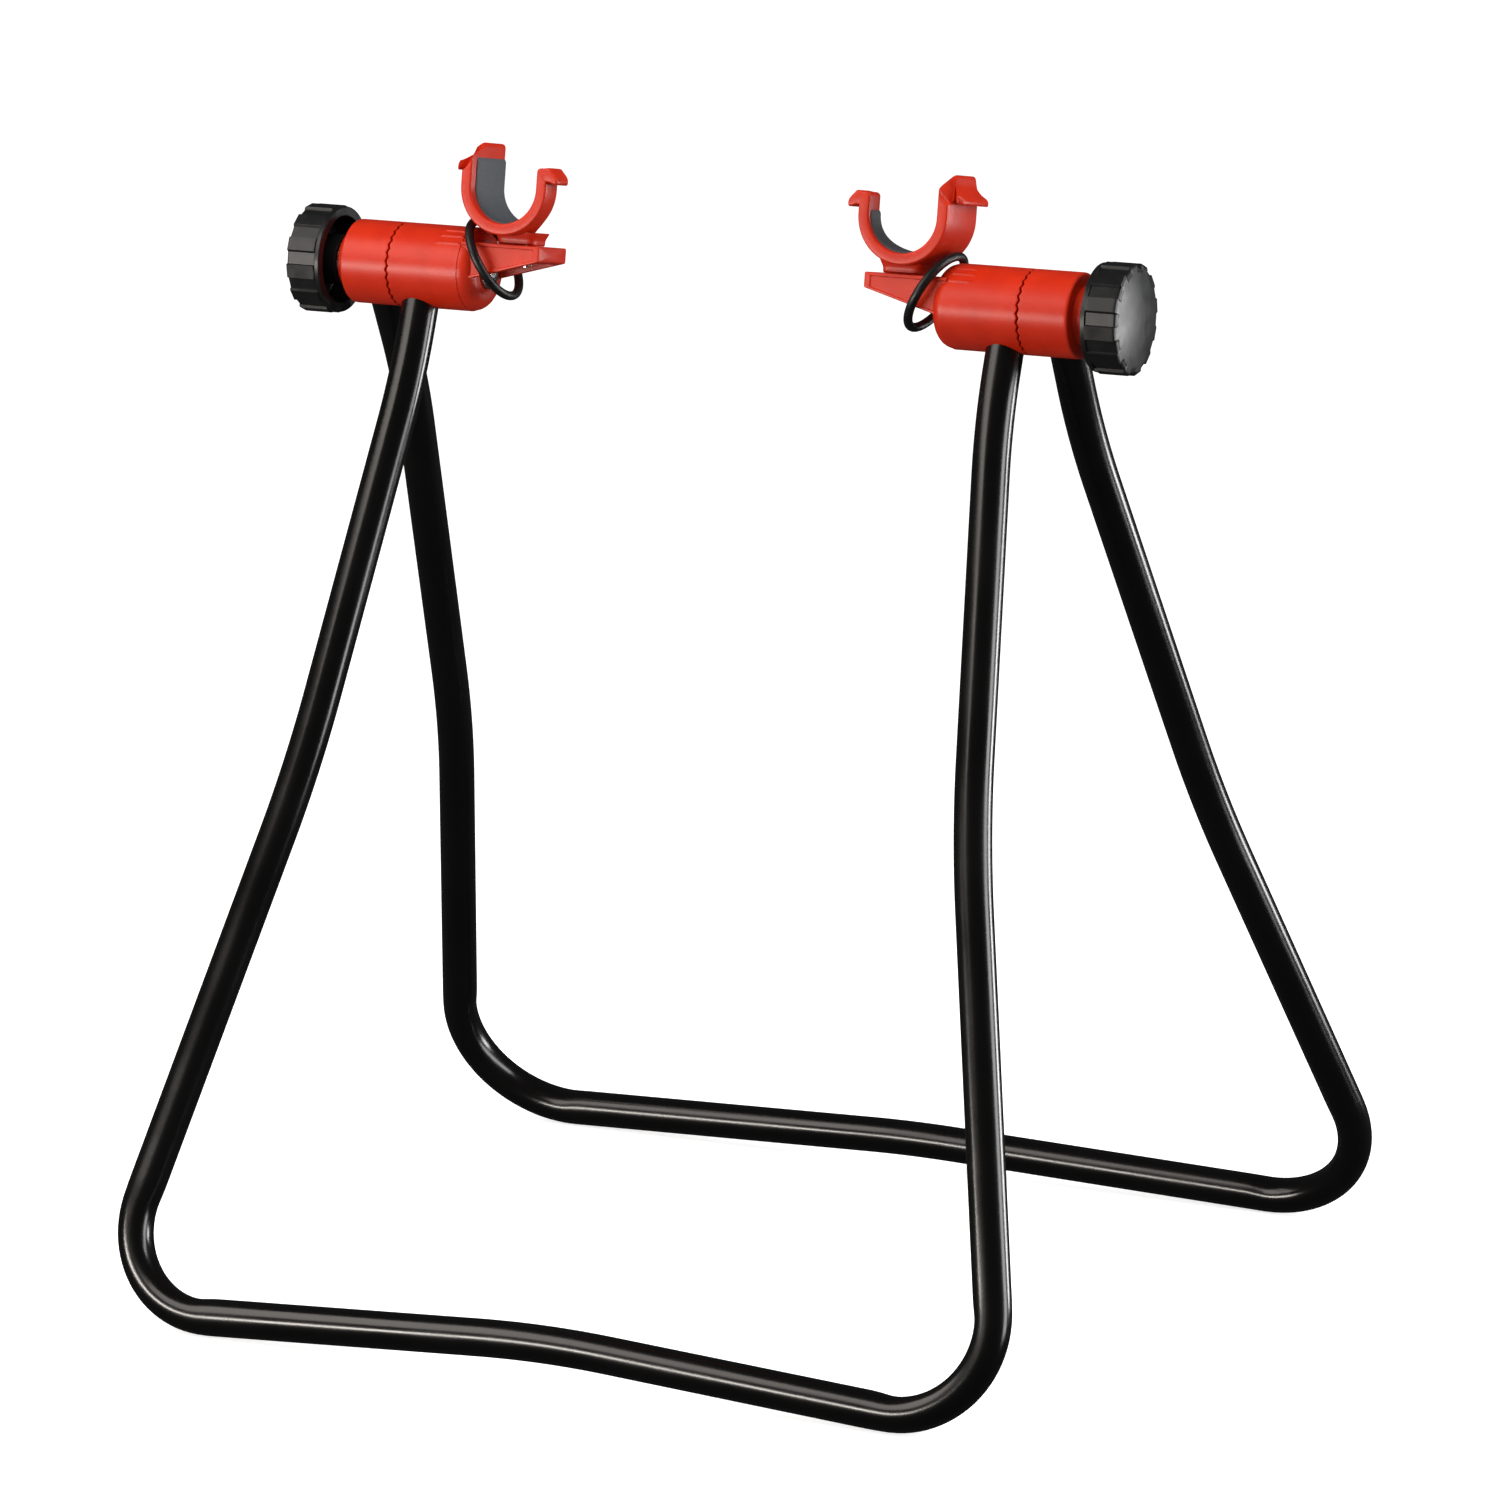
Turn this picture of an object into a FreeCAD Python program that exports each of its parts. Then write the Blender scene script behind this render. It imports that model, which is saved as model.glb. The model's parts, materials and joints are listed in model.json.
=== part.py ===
import FreeCAD
import Part
import math
import os

# Folding bicycle stand. Two bent tube frames hang from one hinge axis that runs
# across the stand (along X). The front frame is held by two inner clamps, the back
# frame by two outer clamps, and a bolt with a hand knob ties each pair together.
# Each inner clamp reaches inwards as an arm that carries a padded cradle.
# +Z is up, +Y is towards the back frame, and all lengths are in millimetres.
# The origin is on the floor, midway between the feet of the two frames.

# ---- stance ----
AXIS_HEIGHT = 380.7          # hinge axis above the floor
FRONT_LEAN = 21.3            # degrees, front legs from the vertical
BACK_LEAN = 26.2             # degrees, back legs from the vertical
CRADLE_TILT = 9.5            # degrees, arms and cradles slope down to the back

# ---- tube ----
TUBE_DIAMETER = 14.0
TUBE_WALL = 1.2
TUBE_PAST_AXIS = 11.0        # how far a leg runs on above the hinge axis
TUBE_FIT = 0.05              # radial play of a leg in its clamp
UPPER_BEND_RADIUS = 350.0
LOWER_BEND_RADIUS = 530.0
BAR_BEND_RADIUS = 460.0

# ---- front frame, measured down the legs from the hinge axis ----
FRONT_HALF_SPACING = 119.6   # leg centre to the middle of the stand, in the clamp
FRONT_UPPER_BEND = 41.9
FRONT_LOWER_BEND = 192.4
FRONT_UPPER_SPLAY = 6.3      # degrees outwards below the upper bend
FRONT_LOWER_SPLAY = 12.4     # degrees outwards below the lower bend
FRONT_BAR_RISE = 3.3         # degrees, floor bar up to its middle
FRONT_CORNER_RADIUS = 33.7

# ---- back frame ----
BACK_UPPER_BEND = 53.5
BACK_LOWER_BEND = 220.0
BACK_UPPER_SPLAY = 6.9
BACK_LOWER_SPLAY = 12.7
BACK_BAR_RISE = 2.3
BACK_CORNER_RADIUS = 41.2

# ---- clamps ----
CLAMP_DIAMETER = 31.5
CLAMP_INNER_LENGTH = 26.2    # leg centre to the rounded end that faces the wheel
CLAMP_WALL = 1.9             # between a front leg and the seam, and outside a back leg
BACK_LEG_WALL = 3.9          # between the seam and a back leg
END_ROUNDING = 5.5
END_STEP = 0.3               # the rounded end is this much smaller in radius
TOOTH_COUNT = 30
TOOTH_HEIGHT = 0.7           # crest to root at the rim
TOOTH_PLAY = 0.1             # crest to crest with the knob let off
BOSS_DIAMETER = 21.0
BOSS_LENGTH = 3.7
RIB_ANGLES = (29.5, 41.5, 54.5)
RIB_LENGTH = 10.0
RIB_START = 5.9              # from the rounded end
RIB_WIDTH = 1.2
RIB_HEIGHT = 0.45

# ---- clamp bolt, washer and knob ----
BOLT_DIAMETER = 6.0
BOLT_FIT = 0.1               # radial play of everything that turns on the bolt
BOLT_PITCH = 1.0
BOLT_HEAD_DIAMETER = 14.0
BOLT_HEAD_HEIGHT = 3.2
BOLT_HEAD_RECESS = 1.2
BOLT_SQUARE = 6.4            # square neck under the head
BOLT_SQUARE_LENGTH = 3.5
WASHER_DIAMETER = 18.0
WASHER_THICKNESS = 1.2
FACE_PLAY = 0.1              # between flat faces that turn on each other
KNOB_DIAMETER = 41.0
KNOB_LENGTH = 14.2
KNOB_WALL = 3.2
KNOB_END = 3.4
KNOB_DOME = 0.7
KNOB_LOBES = 12
KNOB_GROOVE = 1.0            # depth of the flats between the lobes
KNOB_BAND = 1.8              # plain band at the open side
KNOB_RIM_SETBACK = 1.5       # rim behind the hub's end
HUB_DIAMETER = 19.0
NUT_FLATS = 10.0
NUT_HEIGHT = 5.0
NUT_SETBACK = 1.0

# ---- arm under the cradle ----
ARM_LENGTH = 27.1            # out of the clamp's rounded end
ARM_WIDTH = 22.8
ARM_TOP = 10.2               # flat top above the hinge axis
ARM_OFFSET = -2.0            # middle of the arm, in front of the hinge axis
ARM_TIP_THICKNESS = 5.7
ARM_UNDERSIDE_SLOPE = 15.5   # degrees
ARM_WALL = 2.6
ARM_PLATE = 3.0

# ---- cradle ----
CRADLE_OVERHANG = 12.1       # channel centre out from the clamp's rounded end
CRADLE_BOTTOM = 13.4         # channel underside above the hinge axis
CRADLE_OFFSET = -3.5         # middle of the cradle, in front of the hinge axis
CRADLE_RADIUS = 17.75        # outside
CRADLE_WALL = 4.3
CRADLE_LENGTH = 27.0         # along the tube that it holds, on the knob side
CRADLE_NARROW_LENGTH = 9.0   # on the wheel side
CRADLE_TAPER = 18.0          # how far across the channel the length grows
OUTER_HORN_HEIGHT = 16.25    # above the channel's centre
OUTER_HORN_SLANT_Y = 11.5    # front corner cut off the tall horn
OUTER_HORN_SLANT_Z = 5.6
INNER_HORN_HEIGHT = 8.05
HOOK_OVERHANG = 3.85         # hook tip outside the channel's wall
OUTER_HOOK_DROP = 10.3       # tip below the top of its horn
INNER_HOOK_DROP = 6.0
OUTER_HOOK_HOLLOW = 1.2      # how far the outside of a hook is hollowed
INNER_HOOK_HOLLOW = 0.3
HOOK_TIP = 2.3
NECK_LENGTH = 15.7           # along X
NECK_WIDTH = 12.0
NECK_OFFSET = 2.5            # towards the wheel from the channel centre
NECK_FLARE = 0.9
PAD_THICKNESS = 2.4
PAD_PROUD = 0.5              # pad face inside the channel's rim
PAD_SETBACK = 4.5            # behind the channel's front face
PAD_OUTER_TOP = 10.5         # pad ends above the channel centre
PAD_INNER_TOP = 1.5

# ---- cradle screw ----
SCREW_DIAMETER = 5.0
SCREW_FIT = 0.1
SCREW_HEAD_DIAMETER = 9.0
SCREW_HEAD_HEIGHT = 2.0
SCREW_PAD_GAP = 0.2
CRADLE_WASHER_DIAMETER = 10.0
CRADLE_WASHER_THICKNESS = 1.0
CRADLE_NUT_FLATS = 8.0
CRADLE_NUT_HEIGHT = 3.2
SCREW_PAST_NUT = 0.8
SCREW_SOCKET_FLATS = 3.0
SCREW_SOCKET_FLOOR = 0.6     # under the socket in the head

# ---- rubber strap ring ----
RING_UNDERSIZE = 0.25        # middle of its section inside the clamp's radius
RING_SECTION = 3.4
RING_LEAN = 30.0             # degrees, its top rests back on the clamp
RING_REACH = 4.7             # its top reaches this far back over the clamp
RING_STAND_OFF = 2.27        # middle of its section above the clamp, at its top
RING_OFFSET = -2.2           # centre in front of the hinge axis

# ---- sizes that follow ----
TUBE_RADIUS = TUBE_DIAMETER / 2
CLAMP_RADIUS = CLAMP_DIAMETER / 2
BOLT_BORE = BOLT_DIAMETER / 2 + BOLT_FIT
SEAM_GAP = TOOTH_HEIGHT + TOOTH_PLAY
SEAM_SPACING = FRONT_HALF_SPACING + TUBE_RADIUS + CLAMP_WALL
BACK_HALF_SPACING = SEAM_SPACING + BACK_LEG_WALL + TUBE_RADIUS
CLAMP_INNER_END = FRONT_HALF_SPACING - CLAMP_INNER_LENGTH
CLAMP_OUTER_END = BACK_HALF_SPACING + TUBE_RADIUS + CLAMP_WALL
BOSS_END = CLAMP_OUTER_END + BOSS_LENGTH
WASHER_START = BOSS_END + FACE_PLAY
HUB_START = WASHER_START + WASHER_THICKNESS + FACE_PLAY
KNOB_START = HUB_START + KNOB_RIM_SETBACK
KNOB_FACE = KNOB_START + KNOB_LENGTH
ARM_TIP_SPACING = CLAMP_INNER_END - ARM_LENGTH
CRADLE_SPACING = CLAMP_INNER_END - CRADLE_OVERHANG
CHANNEL_CENTRE = CRADLE_BOTTOM + CRADLE_RADIUS
HOOK_REACH = CRADLE_RADIUS + HOOK_OVERHANG
CHANNEL_INNER = CRADLE_RADIUS - CRADLE_WALL
PAD_INNER = CHANNEL_INNER - PAD_PROUD
PAD_OUTER = PAD_INNER + PAD_THICKNESS
CRADLE_FRONT = -CRADLE_LENGTH / 2
CRADLE_BACK = CRADLE_LENGTH / 2
SCREW_SPACING = CRADLE_SPACING - NECK_OFFSET
ARM_PLATE_UNDERSIDE = ARM_TOP - ARM_PLATE
RING_RADIUS = CLAMP_RADIUS - RING_UNDERSIZE
RING_SPACING = CLAMP_INNER_END + RING_REACH - RING_RADIUS * math.sin(math.radians(RING_LEAN))
RING_RISE = CLAMP_RADIUS + RING_STAND_OFF - RING_RADIUS * math.cos(math.radians(RING_LEAN))

X_AXIS = FreeCAD.Vector(1, 0, 0)
Y_AXIS = FreeCAD.Vector(0, 1, 0)
Z_AXIS = FreeCAD.Vector(0, 0, 1)
ORIGIN = FreeCAD.Vector(0, 0, 0)


def frame_reach(lean, splay, rise, corner_radius):
    """Length down the leg to the sharp corner, so that the rounded corner meets the floor."""
    turn = math.radians(90 + splay + rise)
    tangent = corner_radius * math.tan(turn / 2)
    lift = tangent * math.sin(math.radians(rise)) - corner_radius * (1 - math.cos(math.radians(rise)))
    return (AXIS_HEIGHT - TUBE_RADIUS) / math.cos(math.radians(lean)) + lift


def foot_offset(lean):
    """Distance along Y from the hinge axis to the floor bar at its lowest."""
    return (AXIS_HEIGHT - TUBE_RADIUS) * math.tan(math.radians(lean))


AXIS_Y = (foot_offset(FRONT_LEAN) - foot_offset(BACK_LEAN)) / 2


def vector(x, y, z):
    return FreeCAD.Vector(x, y, z)


def cylinder_x(radius, start, end):
    """Round bar on the hinge axis from one X to another."""
    return Part.makeCylinder(radius, end - start, vector(start, 0, 0), X_AXIS)


def block(x_range, y_range, z_range):
    """Rectangular block between two values on each axis."""
    corner = vector(x_range[0], y_range[0], z_range[0])
    return Part.makeBox(x_range[1] - x_range[0], y_range[1] - y_range[0], z_range[1] - z_range[0], corner)


def polygon_face(points):
    """Flat face through a closed run of corner points."""
    return Part.Face(Part.makePolygon(list(points) + [points[0]]))


def revolve_x(profile):
    """Solid of revolution about the hinge axis from (x, radius) corners."""
    face = polygon_face([vector(x, 0, radius) for x, radius in profile])
    return face.revolve(ORIGIN, X_AXIS, 360)


def hexagon_x(flats, start, end):
    """Hexagonal bar on the hinge axis."""
    corner = flats / math.sqrt(3)
    points = []
    for index in range(6):
        angle = math.radians(60 * index)
        points.append(vector(start, corner * math.cos(angle), corner * math.sin(angle)))
    return polygon_face(points).extrude(vector(end - start, 0, 0))


def hexagon_z(flats, x, bottom, top):
    """Upright hexagonal bar."""
    corner = flats / math.sqrt(3)
    points = []
    for index in range(6):
        angle = math.radians(60 * index + 30)
        points.append(vector(x + corner * math.cos(angle), corner * math.sin(angle), bottom))
    return polygon_face(points).extrude(vector(0, 0, top - bottom))


def upright_bar(radius, x, bottom, top):
    """Round bar along Z."""
    return Part.makeCylinder(radius, top - bottom, vector(x, 0, bottom), Z_AXIS)


def rounded_path(corners, radii):
    """Wire of straight runs with a tangent arc of the given radius at each inner corner."""
    edges = []
    start = corners[0]
    for index, radius in enumerate(radii):
        corner = corners[index + 1]
        back = (corners[index] - corner).normalize()
        ahead = (corners[index + 2] - corner).normalize()
        half_angle = back.getAngle(ahead) / 2
        tangent = radius / math.tan(half_angle)
        bisector = (back + ahead).normalize()
        middle = corner + bisector * (radius / math.sin(half_angle) - radius)
        arc_start = corner + back * tangent
        arc_end = corner + ahead * tangent
        edges.append(Part.LineSegment(start, arc_start).toShape())
        edges.append(Part.Arc(arc_start, middle, arc_end).toShape())
        start = arc_end
    edges.append(Part.LineSegment(start, corners[-1]).toShape())
    return Part.Wire(edges)


def swept_bar(path, radius, start):
    """Round bar carried along a wire that sets off downwards from its start point."""
    section = Part.Wire([Part.makeCircle(radius, start, Z_AXIS)])
    return path.makePipeShell([section], True, False)


def bent_frame(half_spacing, upper_bend, lower_bend, upper_splay, lower_splay, rise, corner_radius, lean):
    """One tube: down a leg, round a corner, along the floor bar and up the other leg."""
    reach = frame_reach(lean, lower_splay, rise, corner_radius)
    width_low = half_spacing + (lower_bend - upper_bend) * math.tan(math.radians(upper_splay))
    width_corner = width_low + (reach - lower_bend) * math.tan(math.radians(lower_splay))
    bar_middle = reach - width_corner * math.tan(math.radians(rise))
    leg = [
        (half_spacing, -TUBE_PAST_AXIS),
        (half_spacing, upper_bend),
        (width_low, lower_bend),
        (width_corner, reach),
    ]
    corners = [vector(-width, 0, -down) for width, down in leg]
    corners.append(vector(0, 0, -bar_middle))
    corners += [vector(width, 0, -down) for width, down in reversed(leg)]
    leg_radii = [UPPER_BEND_RADIUS, LOWER_BEND_RADIUS, corner_radius]
    path = rounded_path(corners, leg_radii + [BAR_BEND_RADIUS] + leg_radii[::-1])
    outside = swept_bar(path, TUBE_RADIUS, corners[0])
    inside = swept_bar(path, TUBE_RADIUS - TUBE_WALL, corners[0])
    tube = outside.cut(inside)
    bolt_hole = cylinder_x(BOLT_BORE, -half_spacing - TUBE_DIAMETER, half_spacing + TUBE_DIAMETER)
    return tube.cut(bolt_hole)


def toothed_half(side):
    """Block that fills the space on one side of the toothed seam and ends in its teeth.

    The tooth flanks are planes through one point on the hinge axis, so crests and
    roots run radially and the tooth height grows evenly from nothing to the rim.
    """
    face_x = SEAM_SPACING + side * SEAM_GAP / 2
    far_x = face_x + side * CLAMP_DIAMETER * 2
    reach = CLAMP_DIAMETER
    half_height = TOOTH_HEIGHT / 2 * reach / CLAMP_RADIUS
    crown = []
    base = []
    for index in range(2 * TOOTH_COUNT):
        angle = math.pi * index / TOOTH_COUNT
        y = reach * math.cos(angle)
        z = reach * math.sin(angle)
        height = half_height if index % 2 == 0 else -half_height
        crown.append(vector(face_x + height, y, z))
        base.append(vector(far_x, y, z))
    centre = vector(face_x, 0, 0)
    faces = [polygon_face(base)]
    for index in range(len(crown)):
        following = (index + 1) % len(crown)
        faces.append(polygon_face([centre, crown[index], crown[following]]))
        faces.append(polygon_face([crown[index], base[index], base[following], crown[following]]))
    return Part.Solid(Part.Shell(faces))


def leg_socket(half_spacing, lean):
    """Space that a leg takes up in its clamp."""
    radius = TUBE_RADIUS + TUBE_FIT
    length = TUBE_PAST_AXIS + CLAMP_DIAMETER
    socket = Part.makeCylinder(radius, length, vector(half_spacing, 0, TUBE_PAST_AXIS), vector(0, 0, -1))
    socket.rotate(ORIGIN, X_AXIS, lean)
    return socket


def rounded_end_body():
    """Turned body of the inner clamp, with its rounded end and the step behind it."""
    radius = CLAMP_RADIUS
    nose = radius - END_STEP
    shoulder = CLAMP_INNER_END + END_ROUNDING
    bend = END_ROUNDING * math.sqrt(0.5)
    end_edge = vector(CLAMP_INNER_END, 0, nose - END_ROUNDING)
    bend_middle = vector(shoulder - bend, 0, nose - END_ROUNDING + bend)
    bend_end = vector(shoulder, 0, nose)
    beyond = SEAM_SPACING + SEAM_GAP
    corners = [
        bend_end,
        vector(shoulder, 0, radius),
        vector(beyond, 0, radius),
        vector(beyond, 0, 0),
        vector(CLAMP_INNER_END, 0, 0),
        end_edge,
    ]
    edges = [Part.Arc(end_edge, bend_middle, bend_end).toShape()]
    for first, second in zip(corners, corners[1:]):
        edges.append(Part.LineSegment(first, second).toShape())
    return Part.Face(Part.Wire(edges)).revolve(ORIGIN, X_AXIS, 360)


def grip_ribs():
    """Short raised ribs on the front and back shoulders of the inner clamp."""
    start = CLAMP_INNER_END + RIB_START
    ribs = []
    for angle in RIB_ANGLES + tuple(-value for value in RIB_ANGLES):
        rib = block(
            (start, start + RIB_LENGTH),
            (-RIB_WIDTH / 2, RIB_WIDTH / 2),
            (CLAMP_RADIUS - RIB_WIDTH, CLAMP_RADIUS + RIB_HEIGHT),
        )
        rib.rotate(ORIGIN, X_AXIS, angle)
        ribs.append(rib)
    return ribs


def arm_wedge():
    """Solid wedge, flat on top and sloping underneath, from its tip to inside the clamp."""
    root_x = CLAMP_INNER_END + END_ROUNDING
    slope = math.tan(math.radians(ARM_UNDERSIDE_SLOPE))
    tip_bottom = ARM_TOP - ARM_TIP_THICKNESS
    root_bottom = tip_bottom - (root_x - ARM_TIP_SPACING) * slope
    front = ARM_OFFSET - ARM_WIDTH / 2
    points = [
        vector(ARM_TIP_SPACING, front, ARM_TOP),
        vector(root_x, front, ARM_TOP),
        vector(root_x, front, root_bottom),
        vector(ARM_TIP_SPACING, front, tip_bottom),
    ]
    return polygon_face(points).extrude(vector(0, ARM_WIDTH, 0))


def cradle_arm():
    """Arm of the inner clamp: a wedge that is hollow underneath, bored for the cradle screw."""
    arm = arm_wedge()
    hollow = block(
        (ARM_TIP_SPACING + ARM_WALL, CLAMP_INNER_END),
        (ARM_OFFSET - ARM_WIDTH / 2 + ARM_WALL, ARM_OFFSET + ARM_WIDTH / 2 - ARM_WALL),
        (-CLAMP_DIAMETER, ARM_PLATE_UNDERSIDE),
    )
    screw_hole = upright_bar(SCREW_DIAMETER / 2 + SCREW_FIT, SCREW_SPACING, -CLAMP_RADIUS, CLAMP_RADIUS)
    screw_hole.translate(vector(0, CRADLE_OFFSET, 0))
    return arm.cut(hollow).cut(screw_hole)


def inner_clamp():
    """Clamp of the front frame, with the arm that carries the cradle."""
    body = rounded_end_body().fuse(grip_ribs()).fuse(cradle_arm())
    body.rotate(ORIGIN, X_AXIS, -CRADLE_TILT)
    body = body.common(toothed_half(-1))
    body = body.cut(leg_socket(FRONT_HALF_SPACING, -FRONT_LEAN))
    body = body.cut(cylinder_x(BOLT_BORE, CLAMP_INNER_END - 1, SEAM_SPACING + 2 * SEAM_GAP))
    body = body.cut(cylinder_x(BOLT_HEAD_DIAMETER / 2, CLAMP_INNER_END - BOLT_HEAD_HEIGHT,
                               CLAMP_INNER_END + BOLT_HEAD_RECESS))
    return body.cut(bolt_neck())


def outer_clamp():
    """Clamp of the back frame, with the boss that the knob bears on."""
    body = cylinder_x(CLAMP_RADIUS, SEAM_SPACING - SEAM_GAP, CLAMP_OUTER_END)
    body = body.common(toothed_half(1))
    body = body.fuse(cylinder_x(BOSS_DIAMETER / 2, CLAMP_OUTER_END, BOSS_END))
    body = body.cut(leg_socket(BACK_HALF_SPACING, BACK_LEAN))
    return body.cut(cylinder_x(BOLT_BORE, SEAM_SPACING - 2 * SEAM_GAP, BOSS_END + 1))


def bolt_neck():
    """Square neck that stops the bolt turning in the inner clamp."""
    half = BOLT_SQUARE / 2
    start = CLAMP_INNER_END + BOLT_HEAD_RECESS
    return block((start, start + BOLT_SQUARE_LENGTH), (-half, half), (-half, half))


def clamp_bolt():
    """Round-headed bolt with a square neck, from the arm's hollow through to the knob's nut."""
    seat = CLAMP_INNER_END + BOLT_HEAD_RECESS
    face = seat - BOLT_HEAD_HEIGHT
    rim = BOLT_HEAD_DIAMETER / 2
    dome = [(face + 1.2, rim), (face + 0.35, rim * 0.72), (face, rim * 0.35), (face, 0)]
    head = revolve_x([(seat, 0), (seat, rim)] + dome)
    shank = cylinder_x(BOLT_DIAMETER / 2, seat, HUB_START + NUT_SETBACK + NUT_HEIGHT + BOLT_PITCH)
    return head.fuse(shank).fuse(bolt_neck())


def bolt_washer():
    """Flat steel washer between the boss and the knob."""
    disc = cylinder_x(WASHER_DIAMETER / 2, WASHER_START, WASHER_START + WASHER_THICKNESS)
    return disc.cut(cylinder_x(BOLT_BORE, WASHER_START - 1, WASHER_START + WASHER_THICKNESS + 1))


def knob_outline(inset):
    """Lobed outline in a plane across the hinge axis, drawn in by the inset."""
    tall = KNOB_DIAMETER / 2 - inset
    low = tall - KNOB_GROOVE
    half_step = 180 / KNOB_LOBES
    points = []
    for lobe in range(KNOB_LOBES):
        middle = lobe * 2 * half_step
        for radius, offset in ((tall, -0.46), (tall, 0.46), (low, 0.54), (low, 1.46)):
            angle = math.radians(middle + offset * half_step)
            points.append((radius * math.cos(angle), radius * math.sin(angle)))
    return points


def knob():
    """Hand knob: a lobed cup, open towards the clamp, with a hub that holds the nut."""
    radius = KNOB_DIAMETER / 2
    band_end = KNOB_START + KNOB_BAND
    lobes = polygon_face([vector(band_end, y, z) for y, z in knob_outline(0)])
    lobes = lobes.extrude(vector(KNOB_LENGTH + KNOB_DOME, 0, 0))
    edge = 1.0
    envelope = revolve_x([
        (KNOB_START, 0),
        (KNOB_START, radius - KNOB_GROOVE - edge / 2),
        (KNOB_START + edge / 2, radius - KNOB_GROOVE * 0.4),
        (band_end, radius - KNOB_GROOVE * 0.4),
        (band_end, radius),
        (KNOB_FACE - edge, radius),
        (KNOB_FACE, radius - edge * 1.6),
        (KNOB_FACE + KNOB_DOME * 0.6, radius * 0.6),
        (KNOB_FACE + KNOB_DOME, radius * 0.25),
        (KNOB_FACE + KNOB_DOME, 0),
    ])
    band = cylinder_x(radius, KNOB_START, band_end)
    body = envelope.common(lobes.fuse(band))
    body = body.cut(cylinder_x(radius - KNOB_GROOVE - KNOB_WALL, KNOB_START - 1, KNOB_FACE - KNOB_END))
    body = body.fuse(cylinder_x(HUB_DIAMETER / 2, HUB_START, KNOB_FACE - KNOB_END))
    body = body.cut(cylinder_x(BOLT_BORE, HUB_START - 1, KNOB_FACE - KNOB_END))
    return body.cut(hexagon_x(NUT_FLATS, HUB_START + NUT_SETBACK, HUB_START + NUT_SETBACK + NUT_HEIGHT))


def knob_nut():
    """Hexagon nut moulded into the knob's hub."""
    start = HUB_START + NUT_SETBACK
    return hexagon_x(NUT_FLATS, start, start + NUT_HEIGHT).cut(
        cylinder_x(BOLT_DIAMETER / 2 + BOLT_FIT / 2, start - 1, start + NUT_HEIGHT + 1))


def channel_section(radius, left_top, right_top):
    """Filled U outline in the XZ plane: a half circle carried up to a top on each side."""
    centre_x = CRADLE_SPACING
    left = vector(centre_x - radius, 0, CHANNEL_CENTRE)
    right = vector(centre_x + radius, 0, CHANNEL_CENTRE)
    bottom = vector(centre_x, 0, CHANNEL_CENTRE - radius)
    corners = [right, vector(centre_x + radius, 0, right_top), vector(centre_x, 0, right_top),
               vector(centre_x, 0, left_top), vector(centre_x - radius, 0, left_top), left]
    edges = [Part.Arc(left, bottom, right).toShape()]
    for first, second in zip(corners, corners[1:]):
        if (second - first).Length > 0:
            edges.append(Part.LineSegment(first, second).toShape())
    return Part.Face(Part.Wire(edges))


def along_channel(face, start, end):
    """Section in the XZ plane carried along the channel."""
    face.translate(vector(0, start, 0))
    return face.extrude(vector(0, end - start, 0))


def channel_plan():
    """Upright block with the cradle's plan: short on the wheel side, full length on the knob side."""
    left = CRADLE_SPACING - 2 * HOOK_REACH
    right = CRADLE_SPACING + 2 * HOOK_REACH
    narrow_x = CRADLE_SPACING - CRADLE_RADIUS + CRADLE_WALL
    short_back = CRADLE_FRONT + CRADLE_NARROW_LENGTH
    points = [
        vector(left, CRADLE_FRONT, 0),
        vector(right, CRADLE_FRONT, 0),
        vector(right, CRADLE_BACK, 0),
        vector(narrow_x + CRADLE_TAPER, CRADLE_BACK, 0),
        vector(narrow_x, short_back, 0),
        vector(left, short_back, 0),
    ]
    return polygon_face(points).extrude(vector(0, 0, CHANNEL_CENTRE + 2 * CRADLE_RADIUS))


def horn_hook(side, top, drop, hollow_depth):
    """Lip that curls outwards and down from the top of a horn, for the strap ring."""
    inner = CRADLE_SPACING + side * CHANNEL_INNER
    outer = CRADLE_SPACING + side * CRADLE_RADIUS
    tip = CRADLE_SPACING + side * HOOK_REACH
    crest = vector(inner + side * CRADLE_WALL * 0.6, 0, top)
    tip_top = vector(tip, 0, top - drop + HOOK_TIP)
    tip_bottom = vector(tip, 0, top - drop)
    hollow = (crest + tip_top) * 0.5 - vector(side * hollow_depth, 0, hollow_depth)
    under = vector(outer - side * 0.5, 0, top - drop + 0.4 * HOOK_TIP)
    foot = vector(outer - side * 0.5, 0, top - drop - HOOK_TIP)
    inner_low = vector(inner, 0, top - drop - HOOK_TIP)
    inner_top = vector(inner, 0, top)
    edges = [Part.Arc(crest, hollow, tip_top).toShape()]
    corners = [tip_top, tip_bottom, under, foot, inner_low, inner_top, crest]
    for first, second in zip(corners, corners[1:]):
        edges.append(Part.LineSegment(first, second).toShape())
    return along_channel(Part.Face(Part.Wire(edges)), CRADLE_FRONT, CRADLE_BACK)


def cradle_neck():
    """Short block under the channel that stands on the arm and flares into the channel."""
    bottom = ARM_TOP + FACE_PLAY
    top = CRADLE_BOTTOM + CRADLE_WALL / 2
    outlines = []
    for height, grow in ((bottom, 0), (bottom + 0.45 * (top - bottom), 0.2), (top, NECK_FLARE)):
        half_x = NECK_LENGTH / 2 + grow
        half_y = NECK_WIDTH / 2 + grow / 2
        points = [vector(SCREW_SPACING + sx * half_x, sy * half_y, height)
                  for sx, sy in ((-1, -1), (1, -1), (1, 1), (-1, 1))]
        outlines.append(Part.makePolygon(points + [points[0]]))
    return Part.makeLoft(outlines, True, True)


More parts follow.
